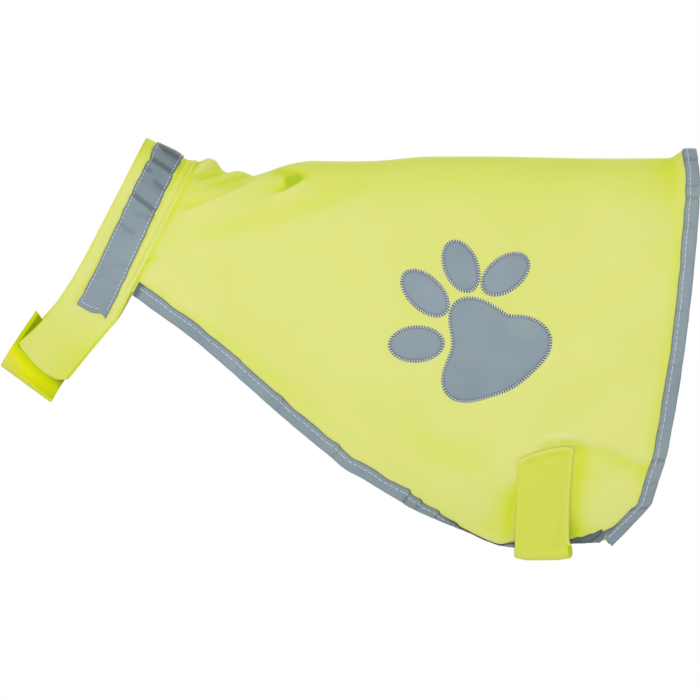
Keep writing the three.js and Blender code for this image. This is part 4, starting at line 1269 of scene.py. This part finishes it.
def wrapped(name, on, normal, way_out, seed, dents, shade, stitched=slice(2, -2)):
    """A folded strip over an edge: along its stations it follows the cloth's outer side from the
    leg's end to the edge, turns round the edge in a half circle and follows the inner side back.
    dents and shade hold a number for each station: how deep a crease crosses the strip there, and
    how dark it is."""
    length = length_along(on[:, 0])[:, None]
    share = np.linspace(0, 1, LEG_POINTS)
    slot = PANEL_WALL / 2 + BINDING_GAP
    turn = np.radians(np.linspace(90, -90, FOLD_POINTS + 2))[1:-1, None]
    pucker = wave(length, *BINDING_PUCKER, seed)
    pucker = pucker + wave(length + RIPPLE_LEAN * share, *BINDING_RIPPLE, seed + 1)
    pucker = pucker * lerp(PUCKER_AT_EDGE, 1, np.sin(math.pi * share))
    pucker = pucker + dents[:, None] * lerp(DENT_AT_EDGE, 1, share)
    level = slot + np.clip(pucker, *BINDING_RISE)
    into_rim = np.clip((share - BINDING_RIM["from"]) / (1 - BINDING_RIM["from"]), 0, 1)
    layers = []
    for out in (BINDING_WALL * (1 - BINDING_RIM["thinner"] * into_rim), 0 * share):
        height = (level + out)[..., None]
        round_edge = way_out[:, None] * np.cos(turn) + normal[:, :1] * np.sin(turn)
        layers.append(np.concatenate([
            (on + normal * height)[:, ::-1], on[:, :1] + round_edge * height[:, :1],
            on - normal * height], axis=1))
    outer, inner = layers
    columns = np.linspace(0, 1, outer.shape[1])
    rim = swell(columns, *BINDING_RIM_SHADE) + swell(1 - columns, *BINDING_RIM_SHADE)
    piece = wall(name + "_tape", outer, inner, REFLECTIVE, passes=8, shade=shade[:, None] + rim)
    normals = grid_normals(outer, unit(outer - inner))
    paths = [stitch_paths(outer[stitched, column], normals[stitched, column], *BINDING_STITCH)
             for column in (LEG_POINTS - 1 - STITCH_LEG, STITCH_LEG - LEG_POINTS)]
    return piece, sewn(name + "_stitches", paths, BINDING_THREAD)


# Pleats where the hem binding is gathered: along the body, and how far each steps its inner edge.
HEM_PLEATS = table(
    ("x", "size"),
    (-33, 1.8), (-21, 1.5), (-4, 1.9), (14, 1.2), (-92, 0.8), (-140, 0.7), (-176, 0.6),
    (127, 1.8), (138, 2.6))
# Creases across the rear binding, by height.
REAR_DENTS = table(
    ("z", "depth", "width"),
    (-3.5, 0.7, 1.4), (-25.5, 0.9, 1.0), (-36, 0.9, 1.2), (-60, 0.35, 2), (-131, 0.4, 2),
    (-178, 0.5, 2), (-232, 0.4, 1.6), (-257, 1.1, 1.6), (-276, 0.5, 1.4), (-297, 1.1, 1.4),
    (-311, 0.5, 1.4))

# The hem binding: its ends, by the share of the way back, and its stations. A pleat spreads further
# before its step than after it, with a dent behind it. Behind the strap its inner edge is ragged.
HEM_BINDING_ENDS, HEM_STATIONS = (0.004, 0.975), 420
PLEAT_BEFORE, PLEAT_AFTER = 5, 1.2
PLEAT_DENT = {"depth": 0.35, "after": 1.2, "width": 1.1, "shade": 0.9}
RAGGED, RAGGED_FROM = (1.3, 3.4), (95, 112)
HEM_WANDER = (0.06, 11 / 430)
# It has painted shade where it is rolled past an angle, between places along the body behind the
# strap, and under the neck band, and its stitches stop where they would be out of sight.
ROLLED_SHADE, ROLLED_TURN = 0.95, (62, 88)
STRAP_SHADE, STRAP_SHADE_IN, STRAP_SHADE_OUT, STRAP_SHADE_LOST = 0.9, (100, 108), (120, 138), 0.5
HEM_TOP_SHADE, HEM_TOP_SHADE_LENGTH = 0.8, (1.5, 6)
HEM_STITCHED_TO = 98
# The rear binding: its stations, the girth past which it is worked out square to the edge, and the
# stations that stand past each end, on a line from a station further in.
REAR_STATIONS, REAR_ENDS, REAR_SQUARE = 560, 0.9, (0.94, 1)
REAR_WANDER = (0.05, 13 / 400, 77)
REAR_END_STATIONS, REAR_END_RUN, REAR_END_STEP = 6, 24, 0.8
REAR_DENT_RIGHT = {"depth": 0.8, "higher": 7}
REAR_DENT_SHADE, REAR_CREST_SHADE = 0.42, (0.5, 22)
BINDING_SEEDS = {"left": 101, "right": 121, "rear": 81}


def width_shares(place, edge, sign):
    """The share of the panel that one binding width covers, square to the hem or the rear edge."""
    nudge = 0.002
    back, girth = (place, sign * (1 - nudge)) if edge == "hem" else (1 - nudge, place)
    back, girth = np.broadcast_arrays(np.asarray(back, float), np.asarray(girth, float))
    here = panel_point(back, girth)
    by_back = (panel_point(back + nudge, girth) - here) / nudge
    by_girth = (panel_point(back, girth + nudge) - here) / nudge
    along, inward = (by_back, by_girth) if edge == "hem" else (by_girth, by_back)
    return BINDING_WIDTH / np.linalg.norm(np.cross(inward, unit(along)), axis=-1)


def hem_binding(name, sign, seed):
    """From just behind the neck seam to just short of the rear binding. Its inner edge steps at each
    pleat, and it has painted shade where the hem rolls under."""
    back = np.linspace(*HEM_BINDING_ENDS, HEM_STATIONS)
    share = width_shares(back, "hem", sign)
    x = read(HEM, back, "x")
    turn = read(HEM_TURN, back, "degrees")
    steps, dents = np.zeros_like(x), np.zeros_like(x)
    for place, size in zip(*HEM_PLEATS.values()):
        past = x - place
        steps += size * bump(past, np.where(past < 0, PLEAT_BEFORE, PLEAT_AFTER))
        dents -= size * swell(past - PLEAT_DENT["after"], PLEAT_DENT["depth"], PLEAT_DENT["width"])
    ragged = wave(x, *RAGGED, seed + 7) * smoothstep(x, *RAGGED_FROM)
    wide = 1 + (steps + ragged) / BINDING_WIDTH + wave(back, *HEM_WANDER, seed + 5)
    legs = np.linspace(0, 1, LEG_POINTS)
    girth = sign * (1 - (share * wide)[:, None] * legs)
    back = np.broadcast_to(back[:, None], girth.shape)
    on, normal, way_out = binding(back, girth)
    behind_strap = 1 - STRAP_SHADE_LOST * smoothstep(x, *STRAP_SHADE_OUT)
    behind_strap = behind_strap * smoothstep(x, *STRAP_SHADE_IN)
    rolled = ROLLED_SHADE * smoothstep(turn, *ROLLED_TURN)
    shade = np.maximum(rolled, STRAP_SHADE * behind_strap) - PLEAT_DENT["shade"] * dents
    shade = shade + HEM_TOP_SHADE * (1 - smoothstep(x - x[0], *HEM_TOP_SHADE_LENGTH))
    stitched = slice(2, np.searchsorted(x, HEM_STITCHED_TO))
    return wrapped(name, on, normal, way_out, seed, dents, shade, stitched)


def rear_binding():
    """Over the spine from one belly corner to the other. Its ends are square and stand past the
    hem."""
    girth = np.linspace(-1, 1, REAR_STATIONS)
    share = width_shares(girth, "rear", 1)
    near_end = smoothstep(np.abs(girth), *REAR_SQUARE)
    legs = np.linspace(0, 1, LEG_POINTS)
    back = 1 - (share * (1 + wave(girth, *REAR_WANDER)))[:, None] * legs
    girth = np.broadcast_to(girth[:, None], back.shape)
    edge = panel_point(back[:, :1], girth[:, :1])[:, 0]
    deep = panel_point(back[:, -1:], girth[:, -1:])[:, 0]
    side = np.sign(girth[:, 0])
    run = unit(-np.gradient(edge, axis=0) * side[:, None] * (1, 0, 1))
    inward = np.stack([run[:, 2], -run[:, 0]], axis=-1)
    inward *= np.sign(np.sum(inward * (deep - edge)[:, (0, 2)], axis=-1))[:, None]
    target = edge[:, None, (0, 2)] + inward[:, None] * (legs * BINDING_WIDTH)[:, None]
    ends = np.abs(girth[:, 0]) > REAR_ENDS
    square_back, square_girth = panel_place_at(
        target[ends, :, 0], target[ends, :, 1], 1, smooth_panel)
    blend = near_end[ends, None]
    back, girth = back.copy(), girth.copy()
    back[ends] = lerp(back[ends], square_back, blend)
    girth[ends] = lerp(girth[ends], square_girth * side[ends, None], blend)
    on, normal, way_out = binding(back, girth)
    past = np.linspace(REAR_OVERHANG, REAR_END_STEP, REAR_END_STATIONS)
    grown = []
    for end, inner in ((0, REAR_END_RUN), (-1, -1 - REAR_END_RUN)):
        away = unit(on[end, 0] - on[inner, 0])
        grown.append(on[end][None] + away * past[:, None, None])
    on = np.concatenate([grown[0], on, grown[1][::-1]])
    normal = np.pad(normal, ((REAR_END_STATIONS,) * 2, (0, 0), (0, 0)), mode="edge")
    way_out = unit(on[:, 0] - on[:, 1])
    y, z = on[:, 0, 1], on[:, 0, 2]
    dents = np.zeros(len(on))
    for place, depth, width in zip(*REAR_DENTS.values()):
        left = swell(z - place, depth, width)
        right = swell(z - place + REAR_DENT_RIGHT["higher"], REAR_DENT_RIGHT["depth"] * depth, width)
        dents -= np.where(y < 0, left, right)
    shade = swell(y, *REAR_CREST_SHADE) - REAR_DENT_SHADE * dents
    return wrapped("rear_binding", on, normal, way_out, BINDING_SEEDS["rear"], dents, shade)


# ------------------------------------------------------------------ belly strap
STRAP_CREASES = crease_table(
    ("pulled_corner", "valley", "both", 3.4, 0.9, 0.36,
     [(75.5, -254.5), (77.5, -256.5), (79.5, -258.5)]),
    ("corner_fold", "fold", "both", 6.5, 0.9, 0.2,
     [(79, -255.5), (87, -259.5), (100, -265)]),
    ("low_fold", "fold", "both", 6, 0.7, 0.14,
     [(94.3, -338), (97.5, -322), (99.5, -305)]),
    ("middle_roll", "ridge", "both", 9, 0.7, 0,
     [(84, -266), (82, -300), (80, -330)]),
)
# The strap's sewn end and its rolled edges: places in mm from the end or the edge, and each line of
# relief or of shade by its size and its width. Shade below 0 is a painted highlight.
END_ROLL_PLACE, END_ROLL_WIDTH = 2.3, 2.9
END_ROLL_RISE, END_ROLL_SHADE = 1.3, -0.95
END_ROLL_LUMPS = (0.35, 1 / 9, 93)
END_STITCH_PLACE, END_STITCH_WIDTH, END_STITCH_SIDE = 6.4, 2.2, (0.05, 0.3)
END_STITCH_RISE, END_STITCH_SHADE = -0.4, 0.3
STRAP_LOWEST = -0.4
FRONT_EDGE_RISE, FRONT_EDGE_AT = (0.3, 1.4), 1.6
REAR_EDGE_RISE, REAR_EDGE_AT = (0.7, 1.8), 2.0
FRONT_EDGE_SHADE, FRONT_SHADE_AT = (-0.35, 1.3), 1.2
REAR_EDGE_SHADE, REAR_SHADE_AT = (-0.75, 1.7), 1.9
REAR_GROOVE_SHADE, REAR_GROOVE_AT, REAR_GROOVE_ENDS = (0.08, 2), 5.5, (15, 50)
LOW_BAND_SHADE, LOW_BAND_AT = (-0.45, 2.6), 2.5
EDGE_SHADES_END, LOW_CORNER_SHADE_TOP, LOW_CORNER_SHADE_IN = (-330, -326), (-331, -327), (3.2, 4.4)


def strap_relief(x, z, side, below_end, effect):
    """The strap's folded and stitched end, its rolled edges and its creases, as rise or as shade."""
    front_hem, rear_hem = side * BAND_WIDTH, (1 - side) * BAND_WIDTH
    end_roll = bump(below_end - END_ROLL_PLACE, END_ROLL_WIDTH) * (1 + wave(side, *END_ROLL_LUMPS))
    stitch_line = bump(below_end - END_STITCH_PLACE, END_STITCH_WIDTH)
    stitch_line = stitch_line * smoothstep(side, *END_STITCH_SIDE)
    creases = creased(STRAP_CREASES, x, z, np.ones(np.shape(x), bool), effect)
    if effect == "rise":
        edges = swell(front_hem - FRONT_EDGE_AT, *FRONT_EDGE_RISE)
        edges = edges + swell(rear_hem - REAR_EDGE_AT, *REAR_EDGE_RISE)
        rise = creases + END_ROLL_RISE * end_roll + END_STITCH_RISE * stitch_line + edges
        return np.maximum(rise, STRAP_LOWEST)
    edges = swell(front_hem - FRONT_SHADE_AT, *FRONT_EDGE_SHADE)
    edges = edges + swell(rear_hem - REAR_SHADE_AT, *REAR_EDGE_SHADE)
    groove = swell(rear_hem - REAR_GROOVE_AT, *REAR_GROOVE_SHADE)
    edges = edges + groove * (1 - smoothstep(below_end, *REAR_GROOVE_ENDS))
    edges = edges * smoothstep(z, *EDGE_SHADES_END)
    # Painted shade on the lower rear corner's edge, where a second layer of the doubled strap shows in
    # shadow.
    corner = (1 - smoothstep(z, *LOW_CORNER_SHADE_TOP)) * (1 - smoothstep(rear_hem, *LOW_CORNER_SHADE_IN))
    low_band = swell(z - STRAP_BOTTOM - LOW_BAND_AT, *LOW_BAND_SHADE)
    shade = creases + END_ROLL_SHADE * end_roll + END_STITCH_SHADE * stitch_line
    return shade + edges + corner + low_band


# The strap's grid: columns across it, then rows down the flank, on to the corner, round the corner,
# and across to the middle. Then its gap from the panel and how it differs between its two halves.
STRAP_COLUMNS, STRAP_SIDE_RIM, STRAP_END_RIM = 60, 0.02, 0.004
STRAP_ROWS = {"flank": 64, "straight": 60, "corner": 16, "under": 22}
STRAP_GAP = 0.15
STRAP_LIFT_CURVE = 5
STRAP_INSIDE = (0, 0, -200)                 # a place that the strap goes round
STRAP_SLACK, STRAP_RIPPLE, STRAP_RIPPLE_LEAN = (0.35, 34), (0.2, 15), 40
STRAP_SEEDS = {"left": 91, "right": 95}
# Painted light: the right half's shade is lessened, so the far half, in shadow behind the near one,
# shows paler.
STRAP_RIGHT_PAINTED_LIGHT = 1.0
STRAP_ASKEW_ACROSS, STRAP_ASKEW_BELOW = (-35, 40), (285, 332)


def belly_strap():
    """A doubled strip from flank to flank under the belly: down the flank on the panel, straight to
    the corner, round it and across, and the same up the other side, a little askew."""
    side = edge_shares(STRAP_COLUMNS, STRAP_SIDE_RIM)
    end_z = read(STRAP_END, side, "z")
    drop = np.linspace(0, 1, STRAP_ROWS["flank"])[:, None]
    z = lerp(end_z, STRAP_LEAVES, drop)
    x = lerp(read(STRAP_EDGES, -z, "front"), read(STRAP_EDGES, -z, "rear"), side)
    back, girth = panel_place_at(x, z, 1)
    out = (PANEL_WALL + CLOTH_WALL) / 2 + STRAP_GAP
    flank = panel_point(back, -girth) + panel_normal(back, -girth) * out
    flank[..., 1] = -np.abs(flank[..., 1])
    bottom = STRAP_BOTTOM + STRAP_BOTTOM_LIFT * np.abs(2 * side - 1) ** STRAP_LIFT_CURVE
    corner_z = bottom + STRAP_CORNER_RADIUS
    corner = stack(0, -STRAP_CORNER_HALF_WIDTH, corner_z)
    down = np.linspace(0, 1, STRAP_ROWS["straight"])[1:, None, None]
    straight = lerp(flank[-1], corner, down)
    turn = np.radians(np.linspace(0, 90, STRAP_ROWS["corner"]))[1:, None]
    centre_y = STRAP_CORNER_HALF_WIDTH - STRAP_CORNER_RADIUS
    bend = stack(
        0, -(centre_y + STRAP_CORNER_RADIUS * np.cos(turn)),
        corner_z - STRAP_CORNER_RADIUS * np.sin(turn))
    inward = np.linspace(0, 1, STRAP_ROWS["under"])[1:, None]
    under = stack(0, -lerp(centre_y, 0, inward), bottom)
    left = np.concatenate([flank, straight, bend, under])
    fall = -left[..., 2]
    left[..., 0] = lerp(read(STRAP_EDGES, fall, "front"), read(STRAP_EDGES, fall, "rear"), side)
    outward = grid_normals(left, (left - STRAP_INSIDE) * (0, 1, 1))
    length = cut_lengths(left)[..., 1]
    below_end = end_z - left[..., 2] + 0 * length
    rise = strap_relief(left[..., 0], left[..., 2], side, below_end, "rise")
    shade = strap_relief(left[..., 0], left[..., 2], side, below_end, "shade")
    halves = []
    for sign, seed in ((1, STRAP_SEEDS["left"]), (-1, STRAP_SEEDS["right"])):
        slack = wave(length, *STRAP_SLACK, seed) * arch(side)
        slack = slack + wave(length + STRAP_RIPPLE_LEAN * side, *STRAP_RIPPLE, seed + 1)
        middle = left + outward * (rise + slack)[..., None]
        halves.append((middle * (1, sign, 1), outward * (1, sign, 1)))
    middle = np.concatenate([halves[0][0], halves[1][0][::-1][1:]])
    normal = np.concatenate([halves[0][1], halves[1][1][::-1][1:]])
    # The far half is painted paler, as light, where it lies in shadow.
    shade = np.concatenate([shade, shade[::-1][1:] - STRAP_RIGHT_PAINTED_LIGHT])
    askew = smoothstep(middle[..., 1], *STRAP_ASKEW_ACROSS)
    middle[..., 0] += STRAP_ASKEW * askew * smoothstep(-middle[..., 2], *STRAP_ASKEW_BELOW)
    ends = rim_thickness(np.linspace(0, 1, len(middle)), STRAP_END_RIM)[:, None]
    thick = (CLOTH_WALL * rim_thickness(side, STRAP_SIDE_RIM) * ends)[..., None]
    outer, inner = middle + normal * thick / 2, middle - normal * thick / 2
    return wall("belly_strap_cloth", outer, inner, STRAP_CLOTH, passes=20, shade=shade)


# ------------------------------------------------------------------ paw
TOES = table(
    ("x", "z", "long", "short", "tilt"),
    (-20.4, -159, 23.8, 15.5, 3),
    (-13.1, -116, 25, 14.9, -44),
    (17.3, -93.4, 23.4, 14.9, -68),
    (54.8, -100.1, 23.8, 14.9, 38),
)
PAD = {"x": 47.9, "z": -163.8, "radius": 34}
PAD_LOBES = table(
    ("angle", "reach", "spread"),
    (131, 20, 30), (222, 23.5, 32), (14, 13, 34), (72, -3.6, 17), (272, 1.8, 25))
# A patch's outer rings: how far in from its outline each is, how high it stands and how dark it is.
# Its inner rings are shares of the last one's size, and all stand at one height.
PATCH_RINGS = table(
    ("inset", "lift", "shade"),
    (0, 0.25, 1.3), (0.25, 0.5, 1.2), (1.3, 0.42, 0.8), (2.2, 0.5, 0.6), (2.9, 0.85, 0.15),
    (4.2, 1.0, 0.05))
PATCH_MIDDLE = {"shares": (0.8, 0.6, 0.42, 0.24, 0.08), "lift": 1.05, "shade": 0}
PATCH_POINTS = 180
PATCH_GAP = 0.1
# The stitches over a patch's edge, from just outside it to its fourth ring.
PATCH_STITCH_PITCH, PATCH_THREAD = 2.4, 0.46
PATCH_STITCH_POINTS = 5
PATCH_STITCH_OUT, PATCH_STITCH_SINK = 0.25, 0.1
PATCH_STITCH_RING, PATCH_STITCH_RISE = 3, 0.45
PATCH_STITCH_ARCH = {"height": 0.5, "roundness": 0.5}
PATCH_STITCH_LEAN = (0.25, PATCH_STITCH_PITCH, 141)


def toe_outline(angle, toe):
    """An oval, tilted."""
    turn, tilt = np.radians(angle), math.radians(toe["tilt"])
    long, short = toe["long"] * np.cos(turn), toe["short"] * np.sin(turn)
    return np.stack([
        long * math.cos(tilt) - short * math.sin(tilt),
        long * math.sin(tilt) + short * math.cos(tilt)], axis=-1)


def pad_outline(angle, pad):
    """A circle that swells toward three rounded lobes, hollow between two of them."""
    radius = np.full(np.shape(angle), float(pad["radius"]))
    for turn, reach, spread in zip(*PAD_LOBES.values()):
        radius = radius + reach * bump((angle - turn + 180) % 360 - 180, spread)
    turn = np.radians(angle)
    return np.stack([radius * np.cos(turn), radius * np.sin(turn)], axis=-1)


def patch(name, shape, outline):
    """A flat piece sewn on the left flank and its edge stitch: rings of its outline, which lie low
    under the stitch and stand a little proud inside it."""
    angle = np.linspace(0, 360, PATCH_POINTS, endpoint=False)
    edge = outline(angle, shape)
    shares = 1 - PATCH_RINGS["inset"] / np.linalg.norm(edge, axis=-1)[:, None]
    shares = np.concatenate([shares, shares[:, -1:] * PATCH_MIDDLE["shares"]], axis=1)
    lift, shade = (
        np.append(PATCH_RINGS[kind], [PATCH_MIDDLE[kind]] * len(PATCH_MIDDLE["shares"]))
        for kind in ("lift", "shade"))
    x = shape["x"] + edge[:, :1] * shares
    z = shape["z"] + edge[:, 1:] * shares
    back, girth = panel_place_at(x, z, -1)
    on, normal = panel_point(back, girth), panel_normal(back, girth)
    base = PANEL_WALL / 2 + PATCH_GAP
    outer = on + normal * (base + lift)[None, :, None]
    inner = on + normal * base
    piece = capped_wall(name, outer, inner, REFLECTIVE, np.broadcast_to(shade, x.shape))
    return piece, edge_stitches(on, normal, base)


def capped_wall(name, outer, inner, material, shade):
    """A closed wall like a plate: rings that close on themselves, with a middle point in each
    layer."""
    rows, columns = outer.shape[:2]
    index = np.arange(rows * columns).reshape(rows, columns)
    below = np.roll(index, -1, axis=0)
    shift = rows * columns
    under, over = below + shift, index + shift
    faces = np.concatenate([
        quads(index[:, :-1], index[:, 1:], below[:, 1:], below[:, :-1]),
        quads(over[:, :-1], under[:, :-1], under[:, 1:], over[:, 1:]),
        quads(index[:, 0], below[:, 0], under[:, 0], over[:, 0])]).tolist()
    points = np.concatenate([outer.reshape(-1, 3), inner.reshape(-1, 3)])
    middles = np.stack([outer[:, -1].mean(axis=0), inner[:, -1].mean(axis=0)])
    points = np.concatenate([points, middles])
    last, after = index[:, -1], below[:, -1]
    faces += np.stack([last, np.full(rows, 2 * shift), after], axis=-1).tolist()
    faces += np.stack([last + shift, after + shift, np.full(rows, 2 * shift + 1)], axis=-1).tolist()
    corner = outer[0, 0]
    faces_out = np.cross(outer[0, 1] - corner, outer[1, 0] - corner)
    if np.dot(faces_out, outer[0, 3] - inner[0, 3]) < 0:
        faces = [face[::-1] for face in faces]
    uv = np.stack([points[:, 0], points[:, 2]], axis=-1)
    depth = np.concatenate([shade.ravel(), shade.ravel(), (0, 0)])
    return as_object(name, points, faces, material, uv, depth)


def edge_stitches(on, normal, base):
    """Close straight stitches over a patch's edge, each from just outside it to just inside."""
    ring = PATCH_STITCH_RING
    outside = on[:, 0] + (on[:, 0] - on[:, 2]) * PATCH_STITCH_OUT
    outside = outside + normal[:, 0] * (base - PATCH_STITCH_SINK)
    inside = on[:, ring] + normal[:, ring] * (base + PATCH_STITCH_RISE)
    outside, inside, facing = (
        np.concatenate([line, line[:1]]) for line in (outside, inside, normal[:, 2]))
    at = length_along(outside)
    count = int(at[-1] / PATCH_STITCH_PITCH)
    place = np.arange(count) * at[-1] / count
    leant = (place + wave(place, *PATCH_STITCH_LEAN)) % at[-1]
    first, last = on_line(place, at, outside), on_line(leant, at, inside)
    share = np.linspace(0, 1, PATCH_STITCH_POINTS)
    paths = lerp(first[:, None], last[:, None], share[:, None])
    ups = np.repeat(unit(on_line(place, at, facing))[:, None], PATCH_STITCH_POINTS, axis=1)
    height = np.sin(math.pi * share) ** PATCH_STITCH_ARCH["roundness"]
    return paths + ups * (PATCH_STITCH_ARCH["height"] * height)[None, :, None], ups


def paw():
    """Four toes and a pad, and the stitches of all five as one piece."""
    shapes = [(f"toe_{i}", toe, toe_outline) for i, toe in enumerate(each_row(TOES), 1)]
    shapes.append(("pad", PAD, pad_outline))
    pieces, stitches = zip(*(
        patch(f"paw_{name}_patch", shape, outline) for name, shape, outline in shapes))
    return pieces, sewn("paw_edge_stitches", stitches, PATCH_THREAD)


# ------------------------------------------------------------------ the vest
band = neck_band()
loop_tape = neck_loop_tape()
tape, tape_stitches = neck_tape()
panel = back_panel()
hem_left, hem_left_stitches = hem_binding("hem_binding_left", -1, BINDING_SEEDS["left"])
hem_right, hem_right_stitches = hem_binding("hem_binding_right", 1, BINDING_SEEDS["right"])
rear, rear_stitches = rear_binding()
strap = belly_strap()
patches, paw_stitches = paw()

for piece, node, slot in (
    (band, "neck_band", "yellow_cloth"),
    (loop_tape, "neck_loop_tape", "loop_pile"),
    (tape, "neck_tape", "reflective_tape"),
    (panel, "back_panel", "yellow_cloth"),
    (hem_left, "hem_binding_left", "reflective_tape"),
    (hem_right, "hem_binding_right", "reflective_tape"),
    (rear, "rear_binding", "reflective_tape"),
    (strap, "belly_strap", "yellow_cloth"),
    *((piece, f"paw_toe_{i + 1}", "reflective_tape") for i, piece in enumerate(patches[:4])),
    (patches[4], "paw_pad", "reflective_tape"),
):
    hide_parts(node)

# ------------------------------------------------------------------ camera, light and floor
cad_low, cad_high = cad_box
FRAME_WIDTH = 0.595                         # what the camera takes in at the near flank, in metres
CAMERA_DISTANCE = 8.0
CAMERA_AIM = {"x": -0.0765, "z": -0.164}
CAMERA_SEES_TO = 50
SENSOR_WIDTH = 36
NEAR_FLANK = -0.03
# Each square light's name, place, size and strength.
SOFTBOXES = (
    ("front_light", (-0.5, -2.6, 0.75), 1.6, 24.5),
    ("rear_light", (0.5, 2.6, 0.75), 1.6, 24.5),
    ("top_light", (0, 0, 3.0), 2.2, 9),
)
WORLD_LIGHT, WORLD_SEEN = 0.6, 1.0          # its strength as light and as seen by the camera
WHITE = (1, 1, 1, 1)
FLOOR = {"radius": 3, "corners": 96, "below": 0.26, "colour": (0.9, 0.9, 0.9, 1), "rough": 0.9}


def camera():
    """A long lens square to the left flank."""
    data = bpy.data.cameras.new("camera")
    data.sensor_width = SENSOR_WIDTH
    data.lens = data.sensor_width * (CAMERA_DISTANCE + NEAR_FLANK) / FRAME_WIDTH
    data.clip_end = CAMERA_SEES_TO
    eye = bpy.data.objects.new("camera", data)
    eye.location = (CAMERA_AIM["x"], -CAMERA_DISTANCE, CAMERA_AIM["z"])
    eye.rotation_euler = (math.pi / 2, 0, 0)
    bpy.context.scene.collection.objects.link(eye)
    bpy.context.scene.camera = eye


def softbox(name, place, size, strength):
    """A square area light turned toward the middle of the vest."""
    data = bpy.data.lights.new(name, "AREA")
    data.size = size
    data.energy = strength
    lamp = bpy.data.objects.new(name, data)
    middle = (cad_low + cad_high) / 2
    lamp.location = place
    direction = middle - lamp.location
    lamp.rotation_mode = "QUATERNION"
    lamp.rotation_quaternion = direction.to_track_quat("-Z", "Y")
    bpy.context.scene.collection.objects.link(lamp)


def studio():
    """Even white surroundings, a large soft light in front, one behind and one above, and a floor."""
    world = bpy.data.worlds.new("studio")
    bpy.context.scene.world = world
    world.use_nodes = True
    tree = world.node_tree
    background = tree.nodes["Background"]
    seen = tree.nodes.new("ShaderNodeLightPath").outputs["Is Camera Ray"]
    level = tree.nodes.new("ShaderNodeMapRange")
    level.inputs["To Min"].default_value = WORLD_LIGHT
    level.inputs["To Max"].default_value = WORLD_SEEN
    tree.links.new(seen, level.inputs["Value"])
    tree.links.new(level.outputs["Result"], background.inputs["Strength"])
    background.inputs["Color"].default_value = WHITE
    for light in SOFTBOXES:
        softbox(*light)
    bpy.ops.mesh.primitive_circle_add(
        vertices=FLOOR["corners"], radius=FLOOR["radius"], fill_type="NGON",
        location=(0, 0, cad_low.z - FLOOR["below"]))
    floor = bpy.context.object
    floor.name = "floor"
    pale = bpy.data.materials.new("pale_floor")
    pale.use_nodes = True
    shader = pale.node_tree.nodes["Principled BSDF"]
    shader.inputs["Base Color"].default_value = FLOOR["colour"]
    shader.inputs["Roughness"].default_value = FLOOR["rough"]
    floor.data.materials.append(pale)


camera()
studio()
bpy.context.scene.view_settings.view_transform = "Standard"

# ------------------------------------------------------------------ cut sizes
# The cut of what shows of each piece, laid flat, in mm. The panel's is measured along the spine and
# from hem to hem at its widest, and a strip's along its middle.
PANEL_CUT = {"width": 803, "length": 434, "filled": 0.76}
BAND_CUT_LENGTH = 586
LOOP_TAPE_CUT_LENGTH = 110
NECK_TAPE_CUT_LENGTH = 364
HEM_BINDING_CUT_LENGTH = 478
REAR_BINDING_CUT_LENGTH = 790
STRAP_CUT_LENGTH = 285
BINDING_FOLD_CUT = 3.5                      # what goes round the edge, between the two legs
BINDING_CUT_WIDTH = 2 * BINDING_WIDTH + BINDING_FOLD_CUT
PAD_CUT = {"width": 96, "length": 88, "filled": 0.7}
ELLIPSE = math.pi / 4                       # the share of its rectangle that it fills
SHEETS = (
    # how it is held, the piece, what it lies on, width, length, share filled, what is sewn on it
    ("draped", panel, "neck_band", *PANEL_CUT.values(), ()),
    ("draped", band, "back_panel", BAND_WIDTH, BAND_CUT_LENGTH, 1, ()),
    ("laid", loop_tape, "neck_band", BAND_WIDTH, LOOP_TAPE_CUT_LENGTH, 1, ()),
    ("laid", tape, "neck_band", NECK_TAPE_WIDTH, NECK_TAPE_CUT_LENGTH, 1, (tape_stitches,)),
    ("folded", hem_left, "back_panel", BINDING_CUT_WIDTH, HEM_BINDING_CUT_LENGTH, 1,
     (hem_left_stitches,)),
    ("folded", hem_right, "back_panel", BINDING_CUT_WIDTH, HEM_BINDING_CUT_LENGTH, 1,
     (hem_right_stitches,)),
    ("folded", rear, "back_panel", BINDING_CUT_WIDTH, REAR_BINDING_CUT_LENGTH, 1, (rear_stitches,)),
    ("stretched", strap, "back_panel", BAND_WIDTH, STRAP_CUT_LENGTH, 1, ()),
    *(("laid", toe, "back_panel", 2 * TOES["short"][i], 2 * TOES["long"][i], ELLIPSE, ())
      for i, toe in enumerate(patches[:4])),
    ("laid", patches[4], "back_panel", *PAD_CUT.values(), (paw_stitches,)),
)
for held, piece, below, width, length, filled, sewn_on in SHEETS:
    list(sewn_on)
